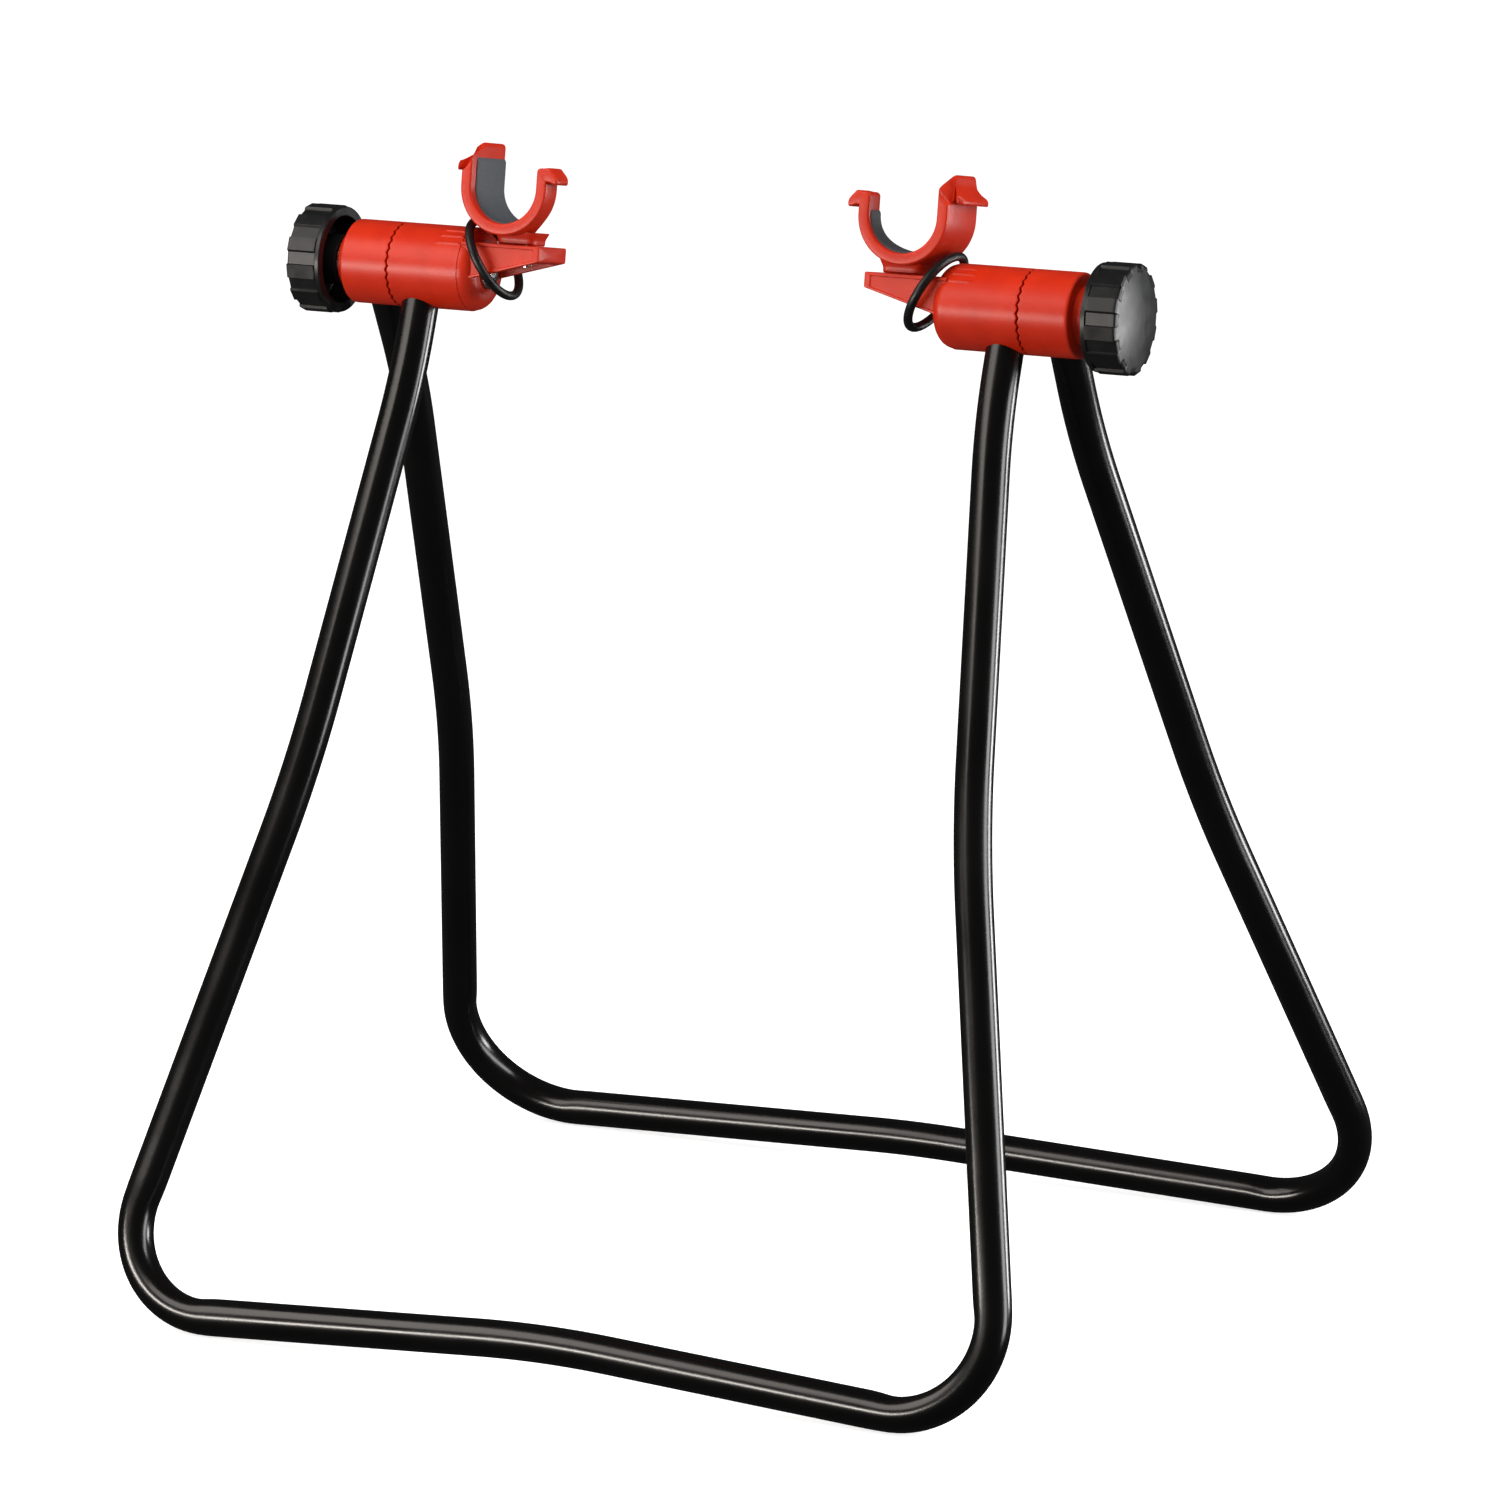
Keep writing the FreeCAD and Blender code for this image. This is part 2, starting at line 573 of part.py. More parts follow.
def cradle():
    """U-shaped cradle with two hooked horns, a bed for the pad and a seat for its screw."""
    outer_top = CHANNEL_CENTRE + OUTER_HORN_HEIGHT
    inner_top = CHANNEL_CENTRE + INNER_HORN_HEIGHT
    outside = channel_section(CRADLE_RADIUS, inner_top - INNER_HOOK_DROP, outer_top - OUTER_HOOK_DROP)
    body = along_channel(outside, CRADLE_FRONT, CRADLE_BACK)
    body = body.fuse(horn_hook(1, outer_top, OUTER_HOOK_DROP, OUTER_HOOK_HOLLOW))
    body = body.fuse(horn_hook(-1, inner_top, INNER_HOOK_DROP, INNER_HOOK_HOLLOW))
    above = 2 * CRADLE_RADIUS + CHANNEL_CENTRE
    opening = along_channel(channel_section(CHANNEL_INNER, above, above), CRADLE_FRONT - 1, CRADLE_BACK + 1)
    body = body.cut(opening)
    body = body.common(channel_plan())
    slant = polygon_face([
        vector(CRADLE_SPACING, CRADLE_FRONT - 1, outer_top - OUTER_HORN_SLANT_Z),
        vector(CRADLE_SPACING, CRADLE_FRONT, outer_top - OUTER_HORN_SLANT_Z),
        vector(CRADLE_SPACING, CRADLE_FRONT + OUTER_HORN_SLANT_Y, outer_top + 1),
        vector(CRADLE_SPACING, CRADLE_FRONT - 1, outer_top + 1),
    ]).extrude(vector(CRADLE_RADIUS + HOOK_REACH, 0, 0))
    body = body.cut(slant)
    body = body.fuse(cradle_neck().cut(opening))
    body = body.cut(along_channel(
        channel_section(PAD_OUTER, CHANNEL_CENTRE + PAD_INNER_TOP, CHANNEL_CENTRE + PAD_OUTER_TOP),
        CRADLE_FRONT + PAD_SETBACK, CRADLE_BACK + 1))
    body = body.cut(upright_bar(SCREW_HEAD_DIAMETER / 2, SCREW_SPACING, screw_seat(), CHANNEL_CENTRE))
    return body.cut(upright_bar(SCREW_DIAMETER / 2, SCREW_SPACING, ARM_TOP - 1, CHANNEL_CENTRE))


def screw_seat():
    """Height of the underside of the screw's head, just below the bed of the pad."""
    bed = CHANNEL_CENTRE - PAD_OUTER
    return bed - SCREW_PAD_GAP - SCREW_HEAD_HEIGHT


def cradle_pad():
    """Rubber liner in the channel."""
    body = along_channel(
        channel_section(PAD_OUTER, CHANNEL_CENTRE + PAD_INNER_TOP, CHANNEL_CENTRE + PAD_OUTER_TOP),
        CRADLE_FRONT + PAD_SETBACK, CRADLE_BACK)
    above = 2 * CRADLE_RADIUS + CHANNEL_CENTRE
    body = body.cut(along_channel(channel_section(PAD_INNER, above, above), CRADLE_FRONT, CRADLE_BACK + 1))
    return body.common(channel_plan())


def cradle_screw():
    """Low-headed screw from the channel's bed down through the arm."""
    seat = screw_seat()
    nut_bottom = ARM_PLATE_UNDERSIDE - FACE_PLAY - CRADLE_WASHER_THICKNESS - CRADLE_NUT_HEIGHT
    head = upright_bar(SCREW_HEAD_DIAMETER / 2, SCREW_SPACING, seat, seat + SCREW_HEAD_HEIGHT)
    shank = upright_bar(SCREW_DIAMETER / 2, SCREW_SPACING, nut_bottom - SCREW_PAST_NUT, seat)
    socket_floor = seat + SCREW_SOCKET_FLOOR
    socket = hexagon_z(SCREW_SOCKET_FLATS, SCREW_SPACING, socket_floor, seat + SCREW_HEAD_HEIGHT + 1)
    return head.fuse(shank).cut(socket)


def cradle_washer():
    """Washer under the arm's top plate."""
    top = ARM_PLATE_UNDERSIDE - FACE_PLAY
    bottom = top - CRADLE_WASHER_THICKNESS
    disc = upright_bar(CRADLE_WASHER_DIAMETER / 2, SCREW_SPACING, bottom, top)
    return disc.cut(upright_bar(SCREW_DIAMETER / 2, SCREW_SPACING, bottom - 1, top + 1))


def cradle_nut():
    """Lock nut on the cradle screw, inside the arm's hollow."""
    top = ARM_PLATE_UNDERSIDE - FACE_PLAY - CRADLE_WASHER_THICKNESS
    nut = hexagon_z(CRADLE_NUT_FLATS, SCREW_SPACING, top - CRADLE_NUT_HEIGHT, top)
    return nut.cut(upright_bar(SCREW_DIAMETER / 2, SCREW_SPACING, top - CRADLE_NUT_HEIGHT - 1, top + 1))


def strap_ring():
    """Rubber ring that hangs round the arm and is stretched over the horns in use."""
    ring = Part.makeTorus(RING_RADIUS, RING_SECTION / 2, ORIGIN, X_AXIS)
    ring.rotate(ORIGIN, Y_AXIS, RING_LEAN)
    ring.translate(vector(RING_SPACING, 0, RING_RISE))
    return ring


def to_stand(shape):
    """Carry a shape from the hinge axis to its place on the stand."""
    shape.translate(vector(0, AXIS_Y, AXIS_HEIGHT))
    return shape


def save(shape, name):
    shape.exportStep("parts/" + name + ".step")


def save_pair(shape, name):
    """Save a right-hand piece and its mirror image for the left side."""
    save(shape, "right_" + name)
    save(shape.mirror(ORIGIN, X_AXIS), "left_" + name)


def save_frames():
    front = bent_frame(FRONT_HALF_SPACING, FRONT_UPPER_BEND, FRONT_LOWER_BEND, FRONT_UPPER_SPLAY,
                       FRONT_LOWER_SPLAY, FRONT_BAR_RISE, FRONT_CORNER_RADIUS, FRONT_LEAN)
    front.rotate(ORIGIN, X_AXIS, -FRONT_LEAN)
    save(to_stand(front), "front_frame")
    back = bent_frame(BACK_HALF_SPACING, BACK_UPPER_BEND, BACK_LOWER_BEND, BACK_UPPER_SPLAY,
                      BACK_LOWER_SPLAY, BACK_BAR_RISE, BACK_CORNER_RADIUS, BACK_LEAN)
    back.rotate(ORIGIN, X_AXIS, BACK_LEAN)
    save(to_stand(back), "back_frame")


def save_heads():
    """Everything on the hinge axis, on both sides."""
    for name, make in (
        ("inner_clamp", inner_clamp), ("outer_clamp", outer_clamp), ("clamp_bolt", clamp_bolt),
        ("bolt_washer", bolt_washer), ("knob", knob), ("knob_nut", knob_nut),
    ):
        save_pair(to_stand(make()), name)
    for name, make, offset in (
        ("cradle", cradle, CRADLE_OFFSET), ("cradle_pad", cradle_pad, CRADLE_OFFSET),
        ("cradle_screw", cradle_screw, CRADLE_OFFSET), ("cradle_washer", cradle_washer, CRADLE_OFFSET),
        ("cradle_nut", cradle_nut, CRADLE_OFFSET), ("strap_ring", strap_ring, RING_OFFSET),
    ):
        piece = make()
        piece.translate(vector(0, offset, 0))
        piece.rotate(ORIGIN, X_AXIS, -CRADLE_TILT)
        save_pair(to_stand(piece), name)


os.makedirs("parts", exist_ok=True)
save_frames()
save_heads()
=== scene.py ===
import json
import math

import bmesh
import bpy
import numpy as np
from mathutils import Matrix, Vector


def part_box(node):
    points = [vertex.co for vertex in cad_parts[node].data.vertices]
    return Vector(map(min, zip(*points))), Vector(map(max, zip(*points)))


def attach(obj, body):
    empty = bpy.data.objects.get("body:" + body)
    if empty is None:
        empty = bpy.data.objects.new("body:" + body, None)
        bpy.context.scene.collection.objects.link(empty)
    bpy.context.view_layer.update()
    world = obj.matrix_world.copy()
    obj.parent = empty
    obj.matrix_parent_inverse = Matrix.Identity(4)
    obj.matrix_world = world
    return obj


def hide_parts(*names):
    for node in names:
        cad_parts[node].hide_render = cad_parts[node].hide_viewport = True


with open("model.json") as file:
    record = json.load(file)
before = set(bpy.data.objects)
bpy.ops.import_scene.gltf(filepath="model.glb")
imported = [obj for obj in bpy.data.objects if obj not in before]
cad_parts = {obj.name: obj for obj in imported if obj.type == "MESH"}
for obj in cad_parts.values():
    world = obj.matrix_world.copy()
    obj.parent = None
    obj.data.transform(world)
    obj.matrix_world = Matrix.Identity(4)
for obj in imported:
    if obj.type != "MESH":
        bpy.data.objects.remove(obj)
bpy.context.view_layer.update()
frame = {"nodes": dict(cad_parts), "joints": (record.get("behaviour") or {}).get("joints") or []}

# Lengths below are in millimetres; a mesh is turned to metres as it is made.
MM = 0.001

# ---- Studio ----
# A sheet of matt white film, lit a little from below, with a broad softbox and a
# flat strip on the left, a tall one on the right, one overhead and a small one
# behind. The camera stands to the right of the stand and looks a little down on it.
hinge = Vector(frame["joints"][0]["pos_m"])
stand_middle = Vector((0, hinge.y, hinge.z / 2))

CAMERA_AZIMUTH = 25.83
CAMERA_ELEVATION = 12.66
CAMERA_DISTANCE = 3.023
CAMERA_LENS = 194.2
CAMERA_SHIFT = (0.0240, 0.0278)
WARM_WHITE = "#FFF8F0"
WORLD_ON_SURFACES = 0.34     # strength of the white world as light,
WORLD_IN_REFLECTIONS = 0.03  # and as it is mirrored in the gloss
FLOOR_REACH = 12.0           # metres


def towards(azimuth, elevation):
    """Unit vector from the stand to a place at that azimuth and elevation, in degrees."""
    a, e = math.radians(azimuth), math.radians(elevation)
    return Vector((math.sin(a) * math.cos(e), -math.cos(a) * math.cos(e), math.sin(e)))


def srgb(code, alpha=1.0):
    """Linear colour of an sRGB hex code."""
    values = [int(code[i:i + 2], 16) / 255 for i in (1, 3, 5)]
    return [v / 12.92 if v <= 0.04045 else ((v + 0.055) / 1.055) ** 2.4 for v in values] + [alpha]


def add_node(tree, kind, inputs=None, **settings):
    """One node with its settings; an input is a value, or a (node, output) pair to link."""
    node = tree.nodes.new(kind)
    for name, value in settings.items():
        setattr(node, name, value)
    for name, value in (inputs or {}).items():
        if isinstance(value, tuple) and isinstance(value[0], bpy.types.Node):
            tree.links.new(value[0].outputs[value[1]], node.inputs[name])
        else:
            node.inputs[name].default_value = value
    return node


def new_material(name):
    """Empty node material and its tree."""
    material = bpy.data.materials.new(name)
    material.use_nodes = True
    material.node_tree.nodes.clear()
    return material, material.node_tree


def finish_material(tree, shader):
    add_node(tree, "ShaderNodeOutputMaterial", {"Surface": (shader, "BSDF")})


def softbox(name, azimuth, elevation, distance, size, power, tint="#FFFFFF"):
    """Rectangular area light that faces the middle of the stand."""
    lamp = bpy.data.lights.new(name, "AREA")
    lamp.shape = "RECTANGLE"
    lamp.size, lamp.size_y = size
    lamp.energy = power
    lamp.color = srgb(tint)[:3]
    holder = bpy.data.objects.new(name, lamp)
    direction = towards(azimuth, elevation)
    holder.location = stand_middle + direction * distance
    holder.rotation_mode = "QUATERNION"
    holder.rotation_quaternion = (-direction).to_track_quat("-Z", "Y")
    bpy.context.scene.collection.objects.link(holder)
    return holder


softbox("softbox_left", azimuth=-46, elevation=41, distance=1.5, size=(1.2, 0.75), power=8, tint=WARM_WHITE)
softbox("softbox_strip", azimuth=-32, elevation=3, distance=1.5, size=(1.1, 0.18), power=13, tint=WARM_WHITE)
softbox("softbox_right", azimuth=104, elevation=16, distance=1.5, size=(0.45, 1.6), power=14)
overhead = softbox("softbox_top", azimuth=10, elevation=72, distance=1.6, size=(1.3, 0.7), power=14)
overhead.visible_glossy = False
softbox("softbox_back", azimuth=132, elevation=0, distance=1.6, size=(0.34, 0.36), power=6)

camera = bpy.data.objects.new("camera", bpy.data.cameras.new("camera"))
camera.data.lens = CAMERA_LENS
camera.data.sensor_width = 36
camera.data.shift_x, camera.data.shift_y = CAMERA_SHIFT
camera_side = towards(CAMERA_AZIMUTH, CAMERA_ELEVATION)
camera.location = stand_middle + camera_side * CAMERA_DISTANCE
camera.rotation_mode = "QUATERNION"
camera.rotation_quaternion = (-camera_side).to_track_quat("-Z", "Y")
bpy.context.scene.collection.objects.link(camera)
bpy.context.scene.camera = camera
bpy.context.scene.view_settings.view_transform = "Standard"

world = bpy.data.worlds.new("studio")
world.use_nodes = True
world.node_tree.nodes.clear()
path = add_node(world.node_tree, "ShaderNodeLightPath")
dim = add_node(world.node_tree, "ShaderNodeMix", {
    "Factor": (path, "Is Glossy Ray"), "A": WORLD_ON_SURFACES, "B": WORLD_IN_REFLECTIONS}, data_type="FLOAT")
strength = add_node(world.node_tree, "ShaderNodeMix", {
    "Factor": (path, "Is Camera Ray"), "A": (dim, "Result"), "B": 1.0}, data_type="FLOAT")
sky = add_node(world.node_tree, "ShaderNodeBackground", {
    "Color": srgb("#FFFFFF"), "Strength": (strength, "Result")})
add_node(world.node_tree, "ShaderNodeOutputWorld", {"Surface": (sky, "Background")})
world.cycles.sampling_method = "NONE"
bpy.context.scene.world = world

film, tree = new_material("matt_white_film")
coordinates = add_node(tree, "ShaderNodeTexCoord")
fibre = add_node(tree, "ShaderNodeTexNoise", {"Vector": (coordinates, "Object"), "Scale": 900.0})
tooth = add_node(tree, "ShaderNodeBump", {"Height": (fibre, "Fac"), "Strength": 0.05, "Distance": 0.0002})
finish_material(tree, add_node(tree, "ShaderNodeBsdfPrincipled", {
    "Base Color": srgb("#F7F7F7"), "Roughness": 0.9, "Normal": (tooth, "Normal"),
    "Emission Color": srgb("#FFFFFF"), "Emission Strength": 0.75}))
floor_mesh = bpy.data.meshes.new("floor")
floor_corners = [(x * FLOOR_REACH, y * FLOOR_REACH, 0) for x, y in ((-1, -1), (1, -1), (1, 1), (-1, 1))]
floor_mesh.from_pydata(floor_corners, [], [(0, 1, 2, 3)])
floor_mesh.materials.append(film)
floor = bpy.data.objects.new("floor", floor_mesh)
floor.visible_glossy = False
floor.visible_diffuse = False
bpy.context.scene.collection.objects.link(floor)

# ---- Tube frames ----
# Each frame is one length of 14 mm steel tube, bent cold round a die and powder
# coated gloss black. The die leaves the tube a little flat on the inside of its
# corners. The top ends are pushed into the clamps.
TUBE_RADIUS = 7.0
TUBE_WALL = 1.2
TUBE_PAST_AXIS = 11.0
UPPER_BEND_RADIUS = 350.0
LOWER_BEND_RADIUS = 530.0
BAR_BEND_RADIUS = 460.0
CORNER_SQUASH = 0.035        # share of the radius lost across a corner bend
DIE_DENT = 0.45              # how deep the inside of a corner is pressed in
DIE_RUN = 3.0                # length over which the dent starts
TUBE_STEP = 2.4
TUBE_SIDES = 64
SLIM_BEND = 60.0             # bends tighter than this are corners
WELD_DISTANCE = 0.002        # points closer than this are merged
axis_height = hinge.z / MM
axis_y = hinge.y / MM


def grid_faces(grid):
    """Quads of a grid that closes on itself, along its rows only if it doesn't end in a pole."""
    rows, columns = grid.shape[:2]
    ends_in_pole = np.ptp(grid[0], axis=0).max() < 1e-6
    row, column = np.meshgrid(np.arange(rows - ends_in_pole), np.arange(columns), indexing="ij")
    next_row, next_column = (row + 1) % rows, (column + 1) % columns
    corners = [row * columns + column, next_row * columns + column,
               next_row * columns + next_column, row * columns + next_column]
    return np.stack(corners, axis=-1).reshape(-1, 4)


def mesh_piece(name, grids, material, sharp=40.0):
    """One object from closed grids of points in millimetres.

    Points that fall together, at poles and seams, are merged, and faces point outwards.
    """
    points, faces, start = [], [], 0
    for grid in grids:
        points.append(grid.reshape(-1, 3) * MM)
        faces.append(grid_faces(grid) + start)
        start += grid.size // 3
    mesh = bpy.data.meshes.new(name)
    mesh.from_pydata(np.concatenate(points).tolist(), [], np.concatenate(faces).tolist())
    work = bmesh.new()
    work.from_mesh(mesh)
    bmesh.ops.remove_doubles(work, verts=work.verts, dist=WELD_DISTANCE * MM)
    bmesh.ops.recalc_face_normals(work, faces=work.faces)
    work.to_mesh(mesh)
    work.free()
    mesh.polygons.foreach_set("use_smooth", np.ones(len(mesh.polygons), bool))
    mesh.set_sharp_from_angle(angle=math.radians(sharp))
    mesh.materials.append(material)
    piece = bpy.data.objects.new(name, mesh)
    bpy.context.scene.collection.objects.link(piece)
    return piece


def rounded_route(corners, radii):
    """Points, directions and bend share along straight runs joined by tangent arcs.

    Each inner corner is cut off where an arc of its radius touches both runs; the
    third result is +1 or -1 in a tight arc, for the side it turns to, and 0 elsewhere.
    """
    points, directions, turning = [], [], []
    start = corners[0]
    for index, radius in enumerate(radii):
        corner = corners[index + 1]
        ahead = (corners[index + 2] - corner) / np.linalg.norm(corners[index + 2] - corner)
        along = (corner - start) / np.linalg.norm(corner - start)
        turn = math.atan2(along[0] * ahead[1] - along[1] * ahead[0], along @ ahead)
        side = math.copysign(1, turn)
        tangent = radius * math.tan(abs(turn) / 2)
        arc_start = corner - along * tangent
        count = max(2, int(np.linalg.norm(arc_start - start) / TUBE_STEP))
        share = np.linspace(0, 1, count, endpoint=False)[:, None]
        points.append(start + (arc_start - start) * share)
        directions.append(np.repeat(along[None], count, axis=0))
        turning.append(np.zeros(count))
        centre = arc_start + side * radius * np.array([-along[1], along[0]])
        count = max(4, int(radius * abs(turn) / TUBE_STEP))
        angle = np.linspace(0, turn, count, endpoint=False)
        cos, sin = np.cos(angle)[:, None], np.sin(angle)[:, None]
        across = np.array([-along[1], along[0]])
        points.append(centre - side * radius * (cos * across - sin * along))
        directions.append(cos * along + sin * across)
        turning.append(np.full(count, side if radius < SLIM_BEND else 0.0))
        start = corner + ahead * tangent
    points += [start[None], corners[-1][None]]
    directions += [ahead[None], ahead[None]]
    turning.append(np.zeros(2))
    return np.concatenate(points), np.concatenate(directions), np.concatenate(turning)


def frame_corners(half_spacing, upper_bend, lower_bend, upper_splay, lower_splay, rise, corner_radius, lean):
    """Sharp corners of a frame in its own plane, from one leg's top end round to the other's.

    Lengths run down the legs from the hinge axis. The last run is as long as brings
    the rounded corner down to the floor once the frame leans.
    """
    turn = math.radians(90 + lower_splay + rise)
    lift = (corner_radius * math.tan(turn / 2) * math.sin(math.radians(rise))
            - corner_radius * (1 - math.cos(math.radians(rise))))
    reach_down = (axis_height - TUBE_RADIUS) / math.cos(math.radians(lean)) + lift
    width_low = half_spacing + (lower_bend - upper_bend) * math.tan(math.radians(upper_splay))
    width_corner = width_low + (reach_down - lower_bend) * math.tan(math.radians(lower_splay))
    bar_middle = reach_down - width_corner * math.tan(math.radians(rise))
    leg = [(half_spacing, -TUBE_PAST_AXIS), (half_spacing, upper_bend),
           (width_low, lower_bend), (width_corner, reach_down)]
    corners = [np.array([-width, -down]) for width, down in leg]
    corners.append(np.array([0.0, -bar_middle]))
    return corners + [np.array([width, -down]) for width, down in reversed(leg)]


def even_route(route, ahead, turning):
    """The route at even steps, with the start and end of each tight bend blurred by the die's run."""
    spacing = np.linalg.norm(np.diff(route, axis=0), axis=1)
    distance = np.concatenate([[0], np.cumsum(spacing)])
    even = np.linspace(0, distance[-1], int(distance[-1] / TUBE_STEP))
    route = np.stack([np.interp(even, distance, route[:, k]) for k in range(2)], axis=1)
    ahead = np.stack([np.interp(even, distance, ahead[:, k]) for k in range(2)], axis=1)
    ahead /= np.linalg.norm(ahead, axis=1)[:, None]
    turning = np.interp(even, distance, turning)
    spread = np.exp(-0.5 * (np.arange(-6, 7) * TUBE_STEP / DIE_RUN) ** 2)
    return route, ahead, np.convolve(turning, spread / spread.sum(), mode="same")


def bent_tube(corners, corner_radius):
    """Hollow tube carried down a leg, along the floor bar and up the other leg.

    A point is the route's point plus the tube's radius round the route's direction.
    In a corner the section is squashed towards the middle of the bend, and its
    inner side is pressed in. The outer wall runs one way and the inner wall back.
    """
    leg_radii = [UPPER_BEND_RADIUS, LOWER_BEND_RADIUS, corner_radius]
    bend_radii = leg_radii + [BAR_BEND_RADIUS] + leg_radii[::-1]
    route, ahead, turning = even_route(*rounded_route(corners, bend_radii))
    angle = np.linspace(0, 2 * np.pi, TUBE_SIDES, endpoint=False)
    side = np.stack([-ahead[:, 1], ahead[:, 0]], axis=1)
    squash = CORNER_SQUASH * np.abs(turning)[:, None]
    inward = np.clip(np.cos(angle)[None] * np.sign(turning)[:, None], 0, 1) ** 3
    walls = []
    for radius in (TUBE_RADIUS, TUBE_RADIUS - TUBE_WALL):
        dent = DIE_DENT * np.abs(turning)[:, None] * inward
        across = (radius * (1 - squash) - dent) * np.cos(angle)
        deep = (radius * (1 + squash) - dent * 0.3) * np.sin(angle)
        wall = np.empty((len(route), TUBE_SIDES, 3))
        wall[..., 0] = route[:, 0, None] + side[:, 0, None] * across
        wall[..., 1] = deep
        wall[..., 2] = route[:, 1, None] + side[:, 1, None] * across
        walls.append(wall)
    return np.concatenate([walls[0], walls[1][::-1]])


def to_stand(grid, tilt):
    """Points turned about the hinge axis by a tilt in degrees and carried to their place."""
    cos, sin = math.cos(math.radians(tilt)), math.sin(math.radians(tilt))
    x, y, z = grid[..., 0], grid[..., 1], grid[..., 2]
    return np.stack([x, y * cos - z * sin + axis_y, y * sin + z * cos + axis_height], axis=-1)


# Gloss powder coat flows out smooth with a faint orange peel of about 2.5 mm, so
# its reflections are sharp in the middle and slightly wavy at their edges.
powder_coat, tree = new_material("gloss_black_powder_coat")
coordinates = add_node(tree, "ShaderNodeTexCoord")
PEEL_SPACING = 2.5
RUBBED_PATCH = 35.0
peel = add_node(tree, "ShaderNodeTexNoise", {
    "Vector": (coordinates, "Object"), "Scale": 1 / (PEEL_SPACING * MM), "Detail": 2.0})
handling = add_node(tree, "ShaderNodeTexNoise", {
    "Vector": (coordinates, "Object"), "Scale": 1 / (RUBBED_PATCH * MM), "Detail": 4.0})
gloss = add_node(tree, "ShaderNodeMapRange", {
    "Value": (handling, "Fac"), "From Min": 0.35, "From Max": 0.65, "To Min": 0.18, "To Max": 0.24})
depth = add_node(tree, "ShaderNodeMix", {
    "Factor": (handling, "Fac"), "A": srgb("#050505"), "B": srgb("#0B0A0A")}, data_type="RGBA")
skin = add_node(tree, "ShaderNodeBump", {"Height": (peel, "Fac"), "Strength": 0.08, "Distance": 0.0002})
finish_material(tree, add_node(tree, "ShaderNodeBsdfPrincipled", {
    "Base Color": (depth, "Result"), "Roughness": (gloss, "Result"),
    "Normal": (skin, "Normal"), "IOR": 1.6}))

FRONT_LEAN = 21.3
BACK_LEAN = 26.2
FRONT_CORNER_RADIUS = 33.7
BACK_CORNER_RADIUS = 41.2
front_corners = frame_corners(
    half_spacing=119.6, upper_bend=41.9, lower_bend=192.4, upper_splay=6.3, lower_splay=12.4,
    rise=3.3, corner_radius=FRONT_CORNER_RADIUS, lean=FRONT_LEAN)
back_corners = frame_corners(
    half_spacing=139.4, upper_bend=53.5, lower_bend=220.0, upper_splay=6.9, lower_splay=12.7,
    rise=2.3, corner_radius=BACK_CORNER_RADIUS, lean=BACK_LEAN)
front_tube = bent_tube(front_corners, FRONT_CORNER_RADIUS)
back_tube = bent_tube(back_corners, BACK_CORNER_RADIUS)
for body, tube, tilt in (("front", front_tube, -FRONT_LEAN), ("back", back_tube, BACK_LEAN)):
    piece = mesh_piece(body + "_tube", [to_stand(tube, tilt)], powder_coat)
    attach(piece, body)
    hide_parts(body + "_frame")

# ---- Inner clamps ----
# One moulding of glass-filled nylon on each side. A round body grips the front
# leg, ends in a ring of teeth, and carries a hollow arm that reaches to the wheel.
CLAMP_RADIUS = 15.75
CLAMP_INNER_END = 93.4
END_ROUNDING = 5.5
END_STEP = 0.3
EDGE = 0.5                   # rounding of a moulded edge
BORE_RADIUS = 3.1
NECK_RADIUS = 4.6            # clears the corners of the bolt's square neck
NECK_DEPTH = 3.5
HEAD_RECESS_RADIUS = 7.0
HEAD_RECESS = 1.2
TOOTH_COUNT = 30
TOOTH_HEIGHT = 0.7
TOOTH_GAP = 0.8
RIB_ANGLES = (29.5, 41.5, 54.5)
RIB_START = 5.9
RIB_LENGTH = 10.0
RIB_WIDTH = 1.2
RIB_HEIGHT = 0.45
TOOTH_RUN = 2.5              # length over which the teeth rise out of the wall
CLAMP_SIDES = 360
PROFILE_STEP = 0.8
CRADLE_TILT = -9.5
seam_x = (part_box("right_inner_clamp")[1].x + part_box("right_outer_clamp")[0].x) / 2 / MM


def smooth_step(value, start, end):
    """0 before start and 1 after end, with a smooth turn between them."""
    share = np.clip((value - start) / (end - start), 0, 1)
    return share * share * (3 - 2 * share)


def rounded_corners(points, radii, steps=4):
    """Corner points joined by straight runs, with a smooth turn of the given size at each."""
    result = []
    for index, radius in enumerate(radii):
        corner = np.array(points[index], float)
        if radius == 0:
            result.append(corner[None])
            continue
        back = np.array(points[index - 1], float) - corner
        ahead = np.array(points[(index + 1) % len(points)], float) - corner
        back_length, ahead_length = np.linalg.norm(back), np.linalg.norm(ahead)
        start = corner + back * min(radius / back_length, 0.45)
        end = corner + ahead * min(radius / ahead_length, 0.45)
        share = np.linspace(0, 1, steps + 1)[:, None]
        result.append((1 - share) ** 2 * start + 2 * share * (1 - share) * corner + share ** 2 * end)
    return np.concatenate(result)


def filled_in(points, step, closed=True):
    """A closed or open run of points with more points between, about a step apart."""
    following = np.roll(points, -1, axis=0)
    last = len(points) if closed else len(points) - 1
    filled = []
    for first, second in zip(points[:last], following[:last]):
        count = max(1, math.ceil(np.linalg.norm(second - first) / step))
        filled.append(first + (second - first) * np.linspace(0, 1, count, endpoint=False)[:, None])
    return np.concatenate(filled + [points[last:]])


def capped(rings):
    """Rings of points with a pole added at each end, at the middle of the ring there."""
    first, last = (np.broadcast_to(ring.mean(axis=0), ring.shape) for ring in (rings[0], rings[-1]))
    return np.stack([first, *rings, last])


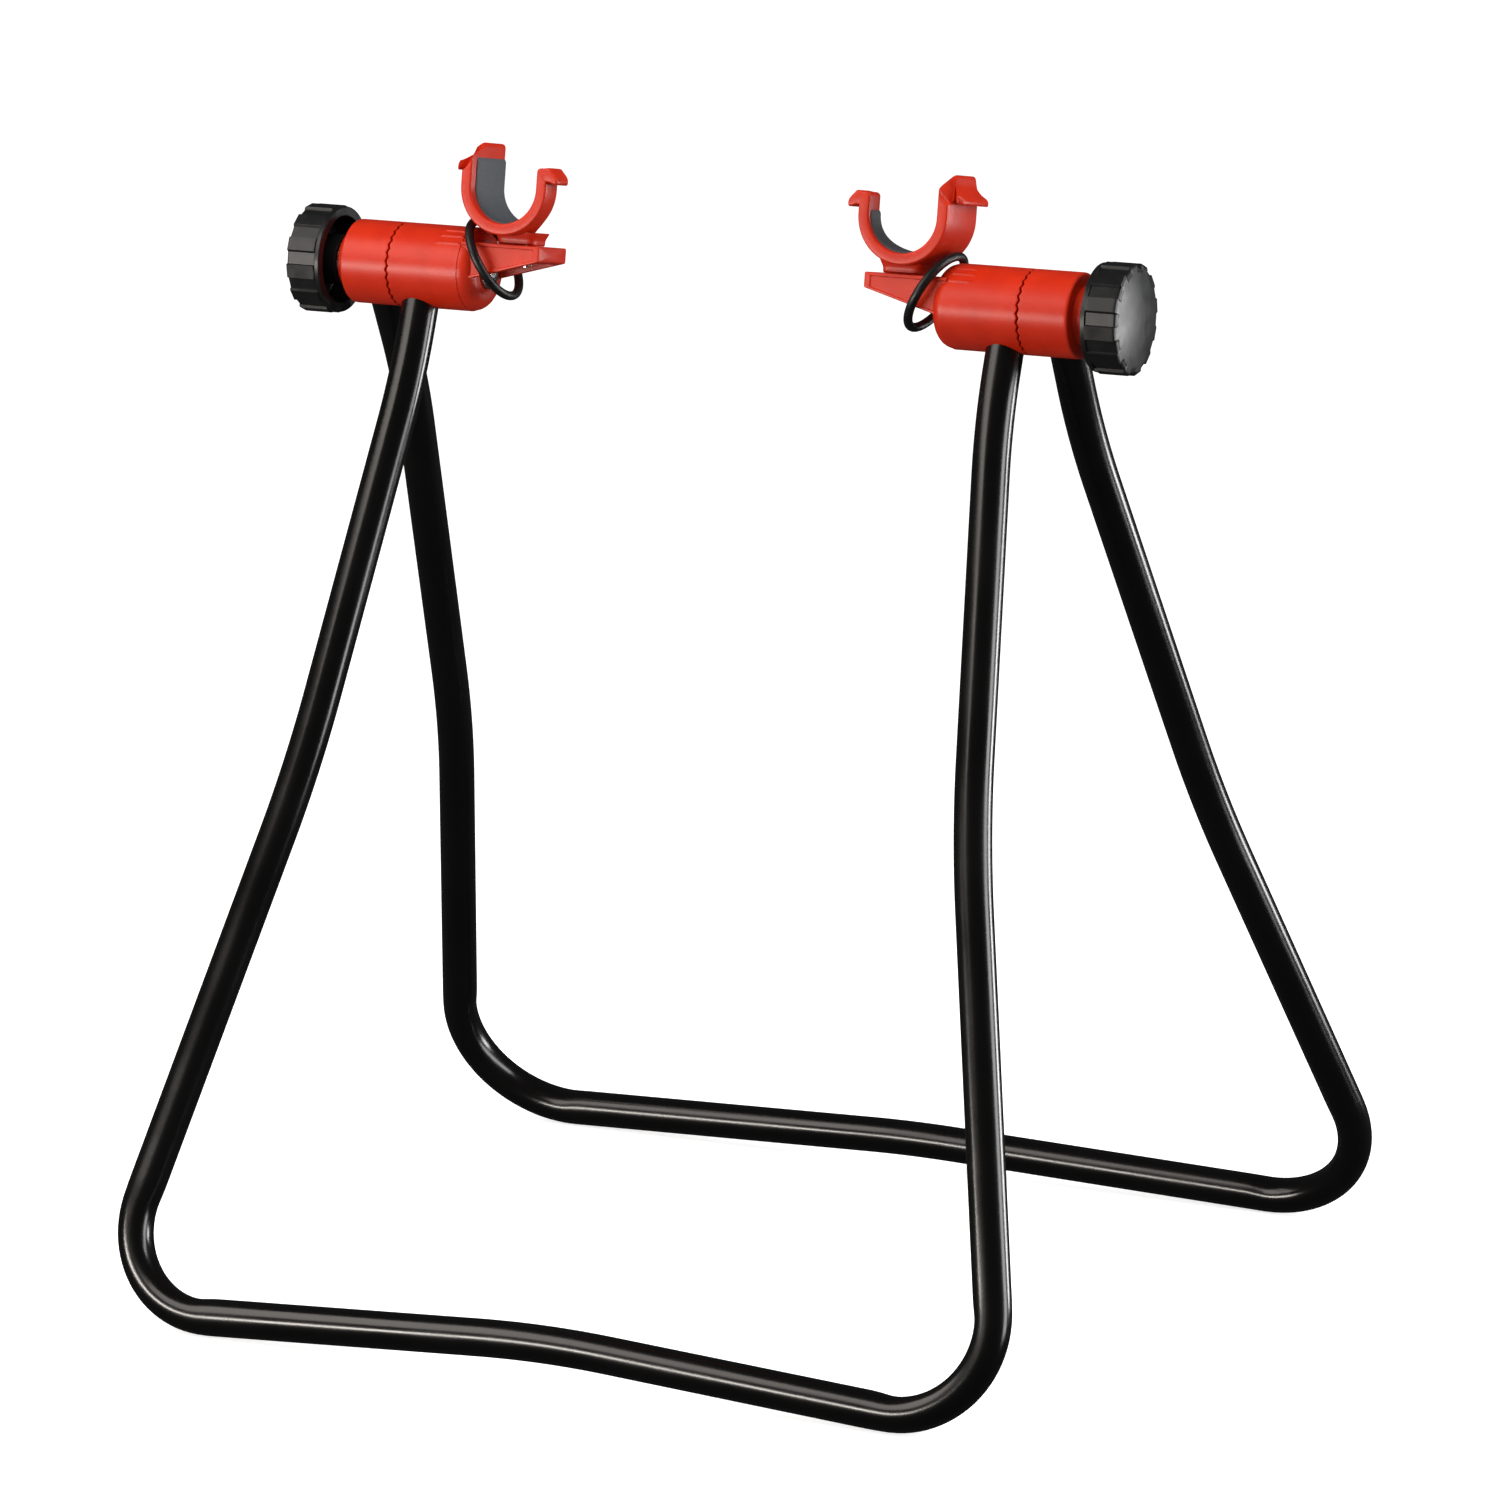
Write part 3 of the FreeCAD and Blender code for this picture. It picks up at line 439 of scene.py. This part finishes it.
def turned(profile, sides):
    """A profile of (x, radius) points carried round the hinge axis: grids of x, radius and angle."""
    angle = np.linspace(0, 2 * np.pi, sides, endpoint=False)
    shape = (len(profile), sides)
    return (np.broadcast_to(profile[:, 0, None], shape), np.broadcast_to(profile[:, 1, None], shape),
            np.broadcast_to(angle, shape))


def round_grid(x, radius, angle):
    """Points round the hinge axis; the angle runs from straight up towards the front."""
    return np.stack([x, -radius * np.sin(angle), radius * np.cos(angle)], axis=-1)


def tooth_wave(angle, radius):
    """Height of the teeth at an angle: a triangle wave that grows with the radius."""
    turn = np.mod((angle + np.pi / 2) * TOOTH_COUNT / (2 * np.pi), 1)
    return TOOTH_HEIGHT * (np.abs(2 * turn - 1) - 0.5) * radius / CLAMP_RADIUS


def inner_clamp_body():
    """Turned body: a rounded end with the bolt's recess, a step, ribs and a toothed face.

    The profile runs along the wall and back through the bore. A rib adds to the
    radius where its two windows, along the axis and round it, are both open.
    """
    face = seam_x - TOOTH_GAP / 2
    nose = CLAMP_RADIUS - END_STEP
    recess = CLAMP_INNER_END + HEAD_RECESS
    shoulder = np.array([CLAMP_INNER_END + END_ROUNDING, nose - END_ROUNDING])
    quarter = np.radians(np.linspace(90, 0, 9))
    dome = shoulder + END_ROUNDING * np.stack([-np.sin(quarter), np.cos(quarter)], axis=1)
    corners = [
        (recess + NECK_DEPTH, BORE_RADIUS), (recess + NECK_DEPTH, NECK_RADIUS), (recess, NECK_RADIUS),
        (recess, HEAD_RECESS_RADIUS), (CLAMP_INNER_END, HEAD_RECESS_RADIUS), *dome,
        (shoulder[0] + 0.1, nose), (shoulder[0] + 0.25, CLAMP_RADIUS),
        (face, CLAMP_RADIUS), (face, BORE_RADIUS)]
    radii = [0, 0, 0, 0, EDGE] + [0] * (len(dome) + 2) + [EDGE / 2, 0]
    profile = filled_in(rounded_corners(corners, radii), PROFILE_STEP)
    x, radius, angle = turned(profile, CLAMP_SIDES)
    from_end = x - CLAMP_INNER_END - RIB_START
    along = smooth_step(from_end, 0, 0.8) * (1 - smooth_step(from_end, RIB_LENGTH - 1.6, RIB_LENGTH))
    on_wall = smooth_step(radius, CLAMP_RADIUS - 1, CLAMP_RADIUS - 0.1)
    from_top = np.abs(np.mod(angle + np.pi, 2 * np.pi) - np.pi)
    for middle in RIB_ANGLES:
        off = np.abs(from_top - math.radians(middle)) * CLAMP_RADIUS
        across = 1 - smooth_step(off, RIB_WIDTH / 4, RIB_WIDTH / 1.6)
        radius = radius + RIB_HEIGHT * along * on_wall * across
    upright = angle + math.radians(CRADLE_TILT)
    x = x + tooth_wave(upright, radius) * smooth_step(x, face - TOOTH_RUN, face)
    return round_grid(x, radius, angle)


ARM_TIP = 66.3
ARM_WIDTH = 22.8
ARM_TOP = 10.2
ARM_MIDDLE = -2.0            # in front of the hinge axis
ARM_TIP_THICKNESS = 5.7
ARM_SLOPE = 15.5
ARM_WALL = 2.6
ARM_PLATE = 3.0
NO_HOLLOW = -99.0            # roof of the hollow where the arm is solid
PANEL_DEPTH = 0.4            # how far the side panels are sunk
PANEL_START = 2.3
PANEL_MARGIN = (1.2, 0.9)    # left standing above and below a panel


def arm_section(x, inset, roof):
    """Outline of the arm across the stand: a slab with sunk sides, hollow up to the roof."""
    bottom = ARM_TOP - ARM_TIP_THICKNESS - (x - ARM_TIP) * math.tan(math.radians(ARM_SLOPE)) + inset
    half = ARM_WIDTH / 2 - inset
    inside = ARM_WIDTH / 2 - ARM_WALL
    sunk = half - PANEL_DEPTH * smooth_step(x, ARM_TIP + PANEL_START, ARM_TIP + PANEL_START + 0.5)
    panel_top, panel_low = ARM_TOP - PANEL_MARGIN[0], bottom + PANEL_MARGIN[1]
    side = [
        (half, ARM_TOP - inset), (half, panel_top), (sunk, panel_top - 0.3), (sunk, panel_low + 0.3),
        (half, panel_low), (half, bottom), (inside, bottom), (inside, max(roof, bottom + 0.01))]
    radii = [0.7, 0, 0, 0, 0, 0.5, 0.3, 0]
    mirrored = [(-y, z) for y, z in reversed(side)]
    outline = rounded_corners(side + mirrored, radii + radii[::-1])
    return np.column_stack([np.full(len(outline), x), outline + [ARM_MIDDLE, 0]])


def arm():
    """The hollow arm: its section carried along the axis, solid where it has its tip wall."""
    quarter = np.radians((90, 60, 30, 0))
    stations = [(ARM_TIP + EDGE * (1 - math.sin(q)), EDGE * (1 - math.cos(q)), NO_HOLLOW) for q in quarter]
    solid_end = ARM_TIP + ARM_WALL
    stations += [(x, 0, NO_HOLLOW) for x in np.linspace(ARM_TIP + PANEL_START - 0.1, solid_end - 0.01, 4)]
    root = CLAMP_INNER_END + END_ROUNDING
    hollow = np.concatenate([[solid_end], np.linspace(solid_end + 0.1, root, 16)])
    stations += [(x, 0, ARM_TOP - ARM_PLATE) for x in hollow]
    return capped([arm_section(*station) for station in stations])


def on_both_sides(part, grids, material, body, sharp=40.0):
    """Makes the right-hand piece and its mirror image, each in the place of its CAD node."""
    for side, sign in (("right", 1), ("left", -1)):
        mirrored = [grid * np.array([sign, 1, 1]) for grid in grids]
        piece = mesh_piece(side + "_" + part + "_moulding", mirrored, material, sharp)
        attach(piece, body.replace("SIDE", side))
        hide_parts(side + "_" + part)


# Glass-filled nylon, moulded in a spark-eroded tool: an even grain gives it a satin
# face, and the dye lies a little unevenly. The real grain is about 0.3 mm and is
# drawn at 0.6 mm, so that it shows.
NYLON_GRAIN = 0.6
DYE_CLOUD = 9.0
nylon, tree = new_material("satin_red_moulded_nylon")
coordinates = add_node(tree, "ShaderNodeTexCoord")
grain = add_node(tree, "ShaderNodeTexNoise", {
    "Vector": (coordinates, "Object"), "Scale": 1 / (NYLON_GRAIN * MM), "Detail": 3.0})
cloud = add_node(tree, "ShaderNodeTexNoise", {
    "Vector": (coordinates, "Object"), "Scale": 1 / (DYE_CLOUD * MM), "Detail": 4.0})
dye = add_node(tree, "ShaderNodeMapRange", {
    "Value": (cloud, "Fac"), "From Min": 0.3, "From Max": 0.7, "To Min": 0.0, "To Max": 1.0})
red = add_node(tree, "ShaderNodeMix", {
    "Factor": (dye, "Result"), "A": srgb("#BA2309"), "B": srgb("#C62A0C")}, data_type="RGBA")
satin = add_node(tree, "ShaderNodeMapRange", {
    "Value": (grain, "Fac"), "From Min": 0.3, "From Max": 0.7, "To Min": 0.3, "To Max": 0.4})
spark_grain = add_node(tree, "ShaderNodeBump", {
    "Height": (grain, "Fac"), "Strength": 0.4, "Distance": 0.0001})
finish_material(tree, add_node(tree, "ShaderNodeBsdfPrincipled", {
    "Base Color": (red, "Result"), "Roughness": (satin, "Result"), "Normal": (spark_grain, "Normal"),
    "IOR": 1.53, "Specular IOR Level": 0.35}))

inner_grids = [to_stand(inner_clamp_body(), CRADLE_TILT), to_stand(arm(), CRADLE_TILT)]
on_both_sides("inner_clamp", inner_grids, nylon, "front")

# ---- Outer clamps ----
# The same nylon, one on each side for the back leg: a short cylinder whose teeth
# lock into the inner clamp's, with a boss that the knob bears on.
CLAMP_OUTER_END = 148.3
BOSS_RADIUS = 10.5
BOSS_END = 152.0


def outer_clamp():
    """Turned body: a toothed face, a rounded outer edge and a boss, with a bore through it."""
    face = seam_x + TOOTH_GAP / 2
    corners = [(face, BORE_RADIUS), (face, CLAMP_RADIUS), (CLAMP_OUTER_END, CLAMP_RADIUS),
               (CLAMP_OUTER_END, BOSS_RADIUS), (BOSS_END, BOSS_RADIUS), (BOSS_END, BORE_RADIUS)]
    profile = filled_in(rounded_corners(corners, [0, EDGE / 2, 1.1, 0.4, 0.4, 0]), PROFILE_STEP)
    x, radius, angle = turned(profile, CLAMP_SIDES)
    x = x + tooth_wave(angle, radius) * (1 - smooth_step(x, face, face + TOOTH_RUN))
    return round_grid(x, radius, angle)


on_both_sides("outer_clamp", [to_stand(outer_clamp(), 0)], nylon, "back")

# ---- Hand knobs ----
# A lobed cup of black ABS on each end, open towards the clamp, with a hub inside
# it that holds the steel nut. Twelve flats stand out and twelve lie back for grip.
KNOB_RADIUS = 20.5
KNOB_OPEN = 154.9            # rim of the cup
KNOB_FACE = 169.1
KNOB_DOME = 1.4
KNOB_BAND = 1.8
KNOB_BAND_DEPTH = 0.6
KNOB_FLATS = 24
KNOB_GROOVE = 1.0
KNOB_WALL = 3.2
KNOB_END = 3.4
KNOB_CUP = KNOB_RADIUS - KNOB_GROOVE - KNOB_WALL
KNOB_SIDES = 384
KNOB_STEP = 0.7
HUB_START = 153.4
HUB_RADIUS = 9.5


def knob():
    """A cup turned about the axis; its wall follows flats that stand out and lie back in turn.

    The radius of a flat at an angle off its middle is its middle's radius over the
    cosine of that angle. A narrow smooth step leads from each flat to the next.
    """
    floor_x = KNOB_FACE - KNOB_END
    band_radius = KNOB_RADIUS - KNOB_BAND_DEPTH
    corners = [
        (floor_x, 0), (floor_x, BORE_RADIUS), (HUB_START, BORE_RADIUS), (HUB_START, HUB_RADIUS),
        (floor_x, HUB_RADIUS), (floor_x, KNOB_CUP), (KNOB_OPEN, KNOB_CUP), (KNOB_OPEN, band_radius),
        (KNOB_OPEN + KNOB_BAND, band_radius), (KNOB_OPEN + KNOB_BAND + 0.2, KNOB_RADIUS),
        (KNOB_FACE - 0.7, KNOB_RADIUS), (KNOB_FACE - 0.3, KNOB_RADIUS - 0.9),
        (KNOB_FACE + KNOB_DOME * 0.5, KNOB_RADIUS * 0.62), (KNOB_FACE + KNOB_DOME * 0.9, KNOB_RADIUS * 0.28),
        (KNOB_FACE + KNOB_DOME, 0)]
    radii = [0, 0, 0, 0.6, 1.0, 1.0, 0.5, 0.5, 0.1, 0.3, 0.5, 0.5, 6.0, 4.0, 0]
    profile = filled_in(rounded_corners(corners, radii), KNOB_STEP, closed=False)
    x, radius, angle = turned(profile, KNOB_SIDES)
    flat = np.mod(angle / (2 * np.pi) * KNOB_FLATS, 2)
    lies_back = smooth_step(flat, 0.94, 1.06) - smooth_step(flat, 1.94, 2.0)
    from_middle = (np.mod(flat, 1) - 0.5) * 2 * np.pi / KNOB_FLATS
    to_flat = np.cos(np.pi / KNOB_FLATS) / np.cos(from_middle)
    past_band = smooth_step(x, KNOB_OPEN + KNOB_BAND, KNOB_OPEN + KNOB_BAND + 0.3)
    on_wall = smooth_step(radius, KNOB_CUP + 1, KNOB_RADIUS - 1.5) * past_band
    cut = 1 - on_wall * (1 - to_flat * (1 - KNOB_GROOVE / KNOB_RADIUS * lies_back))
    return round_grid(x, radius * cut, angle)


# ABS, moulded with a fine grain, drawn at 0.5 mm so that it shows: a dark plastic
# with soft grey highlights, rubbed a little smoother in patches.
ABS_GRAIN = 0.5
ABS_WEAR = 6.0
abs_plastic, tree = new_material("satin_black_moulded_abs")
coordinates = add_node(tree, "ShaderNodeTexCoord")
grain = add_node(tree, "ShaderNodeTexNoise", {
    "Vector": (coordinates, "Object"), "Scale": 1 / (ABS_GRAIN * MM), "Detail": 2.0})
wear = add_node(tree, "ShaderNodeTexNoise", {
    "Vector": (coordinates, "Object"), "Scale": 1 / (ABS_WEAR * MM), "Detail": 4.0})
satin = add_node(tree, "ShaderNodeMapRange", {
    "Value": (wear, "Fac"), "From Min": 0.3, "From Max": 0.7, "To Min": 0.3, "To Max": 0.42})
black = add_node(tree, "ShaderNodeMix", {
    "Factor": (wear, "Fac"), "A": srgb("#111213"), "B": srgb("#1A1B1C")}, data_type="RGBA")
fine_grain = add_node(tree, "ShaderNodeBump", {"Height": (grain, "Fac"), "Strength": 0.2, "Distance": 0.0001})
finish_material(tree, add_node(tree, "ShaderNodeBsdfPrincipled", {
    "Base Color": (black, "Result"), "Roughness": (satin, "Result"), "Normal": (fine_grain, "Normal"),
    "IOR": 1.54}))
on_both_sides("knob", [to_stand(knob(), 0)], abs_plastic, "SIDE_knob", sharp=30.0)

# ---- Cradles ----
# A U-shaped channel of the same red nylon on each arm, which takes the bicycle's
# tube. A screw through its short neck holds it. Each horn ends in a lip that
# curls outwards, and the rubber ring is hooked under the lips.
CRADLE_X = 81.3              # middle of the channel to the middle of the stand
CRADLE_Y = -3.5              # in front of the hinge axis
CHANNEL_Z = 31.15            # centre of the channel above the hinge axis
CHANNEL_OUTER = 17.75
CHANNEL_INNER = 13.45
CHANNEL_END = 13.5           # half of the length along the bicycle's tube
OUTER_HORN_TOP = 16.25       # above the channel's centre
INNER_HORN_TOP = 8.05
HOOK_REACH = 22.2
HOOK_TIP = 2.3
OUTER_HOOK_DROP = 10.9
INNER_HOOK_DROP = 6.0
SLANT_RUN = 12.0             # front corner cut off the tall horn
SLANT_DROP = 5.8
LIP_PLACES = (14.8, 16.0, 20.0, 22.2)   # across the tall horn's lip
LIP_CUTS = (0.0, 9.5, 2.6, 5.4)         # how far its front is cut back there
NARROW_LENGTH = 10.0
TAPER = 18.0
CRADLE_EDGE = 0.8
NECK_X = -2.5
NECK_HALF = (7.85, 6.0)
NECK_ROWS = 16
NECK_SIDES = 96
HALF_CIRCLE = np.radians(np.linspace(180, 360, 49))


def channel_front(x, z):
    """Front end of the channel: straight, but the tall horn's corner is cut off and its lip cut back."""
    up = np.clip((z - OUTER_HORN_TOP + SLANT_DROP) / SLANT_DROP, 0, 1)
    slant = SLANT_RUN * (0.4 * up + 0.6 * smooth_step(up, 0, 1)) * (x > 0)
    on_lip = np.maximum(smooth_step(z, 5, 8), x > CHANNEL_OUTER)
    lip = np.interp(x, LIP_PLACES, LIP_CUTS) * on_lip
    return -CHANNEL_END + np.maximum(slant, lip)


def channel_back(x, z):
    """Back end of the channel: short on the wheel side, growing to its full length across it."""
    growth = smooth_step(x, -CHANNEL_INNER - 1, TAPER - CHANNEL_INNER + 1)
    return -CHANNEL_END + NARROW_LENGTH + (2 * CHANNEL_END - NARROW_LENGTH) * growth


def horn(side, top, drop, hollow):
    """Paired inner and outer edge points of a horn, from its lip's tip down to the channel."""
    tip_top, tip_low = top - drop + HOOK_TIP, top - drop
    under = tip_low + 0.4 * HOOK_TIP
    crest = CHANNEL_INNER + 2.6
    middle_x, middle_z = (crest + HOOK_REACH) / 2 - hollow, (top + tip_top) / 2 - hollow
    inner = [
        (HOOK_REACH, tip_top), (middle_x + 1.2, middle_z - 1.2), (middle_x, middle_z),
        (middle_x - 1.2, middle_z + 1.4), (crest, top), (CHANNEL_INNER + 0.8, top),
        (CHANNEL_INNER, top - 0.8), (CHANNEL_INNER, top - 0.35 * drop),
        (CHANNEL_INNER, under - 2), (CHANNEL_INNER, 0)]
    outer = [
        (HOOK_REACH, tip_low), (HOOK_REACH - 1.4, tip_low + 0.3), (HOOK_REACH - 2.4, tip_low + 0.5),
        (HOOK_REACH - 3.4, under), (CHANNEL_OUTER - 0.2, under), (CHANNEL_OUTER - 0.2, under - 0.1),
        (CHANNEL_OUTER - 0.1, under - 0.3), (CHANNEL_OUTER, under - 0.6),
        (CHANNEL_OUTER, under - 2.2), (CHANNEL_OUTER, 0)]
    return np.array(inner) * [side, 1], np.array(outer) * [side, 1]


def even_edges(inner, outer, step, blur):
    """Two edges resampled together at even steps, with their corners rounded by a blur."""
    middle = (inner + outer) / 2
    run, inner_run = (np.linalg.norm(np.diff(line, axis=0), axis=1) for line in (middle, inner))
    distance = np.concatenate([[0], np.cumsum(run + 0.5 * inner_run)])
    even = np.linspace(0, distance[-1], int(distance[-1] / step))
    reach = int(3 * blur / step)
    weight = np.exp(-0.5 * (np.arange(-reach, reach + 1) * step / blur) ** 2)
    weight /= weight.sum()
    edges = []
    for edge in (inner, outer):
        columns = []
        for k in range(2):
            value = np.interp(even, distance, edge[:, k])
            before = 2 * value[0] - value[reach:0:-1]
            after = 2 * value[-1] - value[-2:-reach - 2:-1]
            padded = np.concatenate([before, value, after])
            columns.append(np.convolve(padded, weight, mode="valid"))
        edges.append(np.stack(columns, axis=1))
    return edges


def strip(inner, outer, front, back, rounding):
    """A bar carried between two edge lines, as wide as the front and back functions say.

    Its section is a rounded rectangle: one direction leads from the inner to the outer
    edge and the other from front to back. Both ends shrink to a pole with a rounded rim.
    """
    quarter = np.radians(np.linspace(0, 90, 5))
    off_end, off_side = 1 - np.sin(quarter), 1 - np.cos(quarter)
    thickness = np.linalg.norm(outer - inner, axis=1)[:, None]
    insets = np.zeros((len(inner), 1))
    insets[:3, 0] = rounding * (1 - np.cos(np.radians((90, 60, 30))))
    insets[-3:] = insets[2::-1]
    inset = insets / thickness
    middle = ((inner + outer) / 2).T
    length = (back(*middle) - front(*middle))[:, None]
    corner = np.repeat((0, 1, 1, 0), len(quarter))
    across = corner + np.concatenate(
        [off_side, -off_side[::-1], -off_side, off_side[::-1]]) * np.minimum(rounding / thickness, 0.45)
    along = np.concatenate(
        [off_end, off_end[::-1], -off_end, -off_end[::-1]]) * np.minimum(rounding, length * 0.45)
    across = inset + across * (1 - 2 * inset)
    place = inner[:, None] + (outer - inner)[:, None] * across[..., None]
    x, z = place[..., 0], place[..., 1]
    at_front = np.arange(len(corner)) < len(corner) // 2
    y = np.where(at_front, front(x, z) + along + insets, back(x, z) + along - insets)
    return capped(np.stack([x, y, z], axis=-1))


def channel():
    """The U: lip, horn, half circle, horn and lip in one run of paired edge points."""
    turn = HALF_CIRCLE[1:-1]
    circle = np.stack([np.cos(turn), np.sin(turn)], axis=1)
    left_inner, left_outer = horn(-1, INNER_HORN_TOP, INNER_HOOK_DROP, -0.9)
    right_inner, right_outer = horn(1, OUTER_HORN_TOP, OUTER_HOOK_DROP, 1.2)
    inner = np.concatenate([left_inner, circle * CHANNEL_INNER, right_inner[::-1]])
    outer = np.concatenate([left_outer, circle * CHANNEL_OUTER, right_outer[::-1]])
    inner, outer = even_edges(inner, outer, step=0.45, blur=0.6)
    return strip(inner, outer, channel_front, channel_back, CRADLE_EDGE)


def neck():
    """Short block under the channel: rounded rectangles stacked up, flaring into the channel."""
    bottom, top = ARM_TOP + 0.1 - CHANNEL_Z, -CHANNEL_OUTER + 1.8
    angle = np.linspace(0, 2 * np.pi, NECK_SIDES, endpoint=False)
    cos, sin = np.cos(angle), np.sin(angle)
    corner = (np.abs(cos) ** 6 + np.abs(sin) ** 6) ** (-1 / 6)
    share = np.linspace(0, 1, NECK_ROWS)[:, None]
    grow = 1.2 * smooth_step(share, 0.3, 1.1) - 0.3 * (1 - smooth_step(share, 0, 0.12))
    x = NECK_X + (NECK_HALF[0] + grow) * corner * cos
    y = (NECK_HALF[1] + grow) * corner * sin
    z = np.broadcast_to(bottom + share * (top - bottom), x.shape)
    return capped(np.stack([x, y, z], axis=-1))


cradle_place = np.array([CRADLE_X, CRADLE_Y, CHANNEL_Z])
cradle_grids = [to_stand(grid + cradle_place, CRADLE_TILT) for grid in (channel(), neck())]
on_both_sides("cradle", cradle_grids, nylon, "SIDE_cradle", sharp=50.0)

# ---- Cradle pads ----
# A strip of grey nitrile rubber pressed into the channel behind its front rim, so
# that the cradle doesn't scratch the bicycle. It stands a little proud of its bed.
PAD_INNER = 12.95
PAD_OUTER = 15.35
PAD_SETBACK = (2.0, 3.8)     # on the wheel side and on the knob side
PAD_INNER_TOP = 1.5
PAD_OUTER_TOP = 10.5
PAD_PROUD = 0.05             # how far the pad's back end passes the channel's
PAD_EDGE = 0.4


def pad_front(x, z):
    """Front end of the pad, behind the channel's rim, further on the knob side."""
    growth = smooth_step(x, -PAD_INNER, PAD_INNER)
    return -CHANNEL_END + PAD_SETBACK[0] + (PAD_SETBACK[1] - PAD_SETBACK[0]) * growth


def pad_back(x, z):
    """Back end of the pad, a hair past the channel's."""
    return channel_back(x, z) + PAD_PROUD


def pad():
    """A half circle of rubber, carried up a little on the wheel side and higher on the other."""
    circle = np.stack([np.cos(HALF_CIRCLE), np.sin(HALF_CIRCLE)], axis=1)
    edges = []
    for radius in (PAD_INNER, PAD_OUTER):
        ends = [[-radius, PAD_INNER_TOP]], [[radius, PAD_OUTER_TOP]]
        edges.append(np.concatenate([ends[0], circle * radius, ends[1]]))
    inner, outer = even_edges(*edges, step=0.7, blur=0.4)
    return strip(inner, outer, pad_front, pad_back, PAD_EDGE)


# Nitrile rubber from a matt tool: dull, with a fine leathery grain of about 0.8 mm. Its grey
# follows the same grain: darker in the grain's low points, paler on its raised ones.
NITRILE_GRAIN = 0.8
nitrile, tree = new_material("matt_grey_nitrile_rubber")
coordinates = add_node(tree, "ShaderNodeTexCoord")
grain = add_node(tree, "ShaderNodeTexNoise", {
    "Vector": (coordinates, "Object"), "Scale": 1 / (NITRILE_GRAIN * MM), "Detail": 3.0})
grey = add_node(tree, "ShaderNodeMix", {
    "Factor": (grain, "Fac"), "A": srgb("#3A3C40"), "B": srgb("#55575B")}, data_type="RGBA")
leathery = add_node(tree, "ShaderNodeBump", {"Height": (grain, "Fac"), "Strength": 0.35, "Distance": 0.0002})
finish_material(tree, add_node(tree, "ShaderNodeBsdfPrincipled", {
    "Base Color": (grey, "Result"), "Roughness": 0.62, "Normal": (leathery, "Normal"), "IOR": 1.52}))
pad_grids = [to_stand(pad() + cradle_place, CRADLE_TILT)]
on_both_sides("cradle_pad", pad_grids, nitrile, "SIDE_cradle")

# ---- Strap rings ----
# A moulded ring of black rubber that hangs round the arm. In use it is stretched
# over both lips of the cradle to hold the bicycle's tube down.
RING_RADIUS = 15.5
RING_SECTION = 1.7
RING_LEAN = 30.0
RING_X = 90.35
RING_Y = -2.2
RING_Z = 4.6
RING_STEPS = 160
RING_SIDES = 32


def ring():
    """A circle carried round a circle about the axis, then leaned over and put on the arm."""
    around = np.linspace(0, 2 * np.pi, RING_STEPS, endpoint=False)[:, None]
    section = np.linspace(0, 2 * np.pi, RING_SIDES, endpoint=False)[None]
    radius = RING_RADIUS + RING_SECTION * np.cos(section)
    y, z = radius * np.cos(around), radius * np.sin(around)
    x = np.broadcast_to(RING_SECTION * np.sin(section), y.shape)
    cos, sin = math.cos(math.radians(RING_LEAN)), math.sin(math.radians(RING_LEAN))
    return np.stack([RING_X + x * cos + z * sin, RING_Y + y, RING_Z + z * cos - x * sin], axis=-1)


# Black natural rubber, a little glossy from its mould, with a bloom that dulls it
# in patches. Its pores are drawn at 0.6 mm, so that they show.
BLOOM_PATCH = 4.0
RUBBER_PORES = 0.6
rubber, tree = new_material("black_moulded_rubber")
coordinates = add_node(tree, "ShaderNodeTexCoord")
bloom = add_node(tree, "ShaderNodeTexNoise", {
    "Vector": (coordinates, "Object"), "Scale": 1 / (BLOOM_PATCH * MM), "Detail": 4.0})
dull = add_node(tree, "ShaderNodeMapRange", {
    "Value": (bloom, "Fac"), "From Min": 0.3, "From Max": 0.7, "To Min": 0.32, "To Max": 0.5})
soot = add_node(tree, "ShaderNodeMix", {
    "Factor": (bloom, "Fac"), "A": srgb("#0C0C0C"), "B": srgb("#171717")}, data_type="RGBA")
pores = add_node(tree, "ShaderNodeTexNoise", {
    "Vector": (coordinates, "Object"), "Scale": 1 / (RUBBER_PORES * MM), "Detail": 2.0})
skin = add_node(tree, "ShaderNodeBump", {"Height": (pores, "Fac"), "Strength": 0.2, "Distance": 0.0001})
finish_material(tree, add_node(tree, "ShaderNodeBsdfPrincipled", {
    "Base Color": (soot, "Result"), "Roughness": (dull, "Result"), "Normal": (skin, "Normal"), "IOR": 1.52}))
on_both_sides("strap_ring", [to_stand(ring(), CRADLE_TILT)], rubber, "front")

# ---- Bolts, screws, nuts and washers ----
# Bought steel parts, cold headed and zinc plated. Their CAD shapes are right, so
# they only get their finish.
ZINC_SPANGLE = 1.2
zinc, tree = new_material("bright_zinc_plated_steel")
coordinates = add_node(tree, "ShaderNodeTexCoord")
spangle = add_node(tree, "ShaderNodeTexNoise", {
    "Vector": (coordinates, "Object"), "Scale": 1 / (ZINC_SPANGLE * MM), "Detail": 4.0})
plate = add_node(tree, "ShaderNodeMix", {
    "Factor": (spangle, "Fac"), "A": srgb("#B4B6B8"), "B": srgb("#DADBDC")}, data_type="RGBA")
bright = add_node(tree, "ShaderNodeMapRange", {
    "Value": (spangle, "Fac"), "From Min": 0.3, "From Max": 0.7, "To Min": 0.2, "To Max": 0.34})
finish_material(tree, add_node(tree, "ShaderNodeBsdfPrincipled", {
    "Base Color": (plate, "Result"), "Roughness": (bright, "Result"), "Metallic": 1.0}))
for part in ("clamp_bolt", "bolt_washer", "knob_nut", "cradle_screw", "cradle_washer", "cradle_nut"):
    for side in ("right", "left"):
        materials = frame["nodes"][side + "_" + part].data.materials
        materials.clear()
        materials.append(zinc)
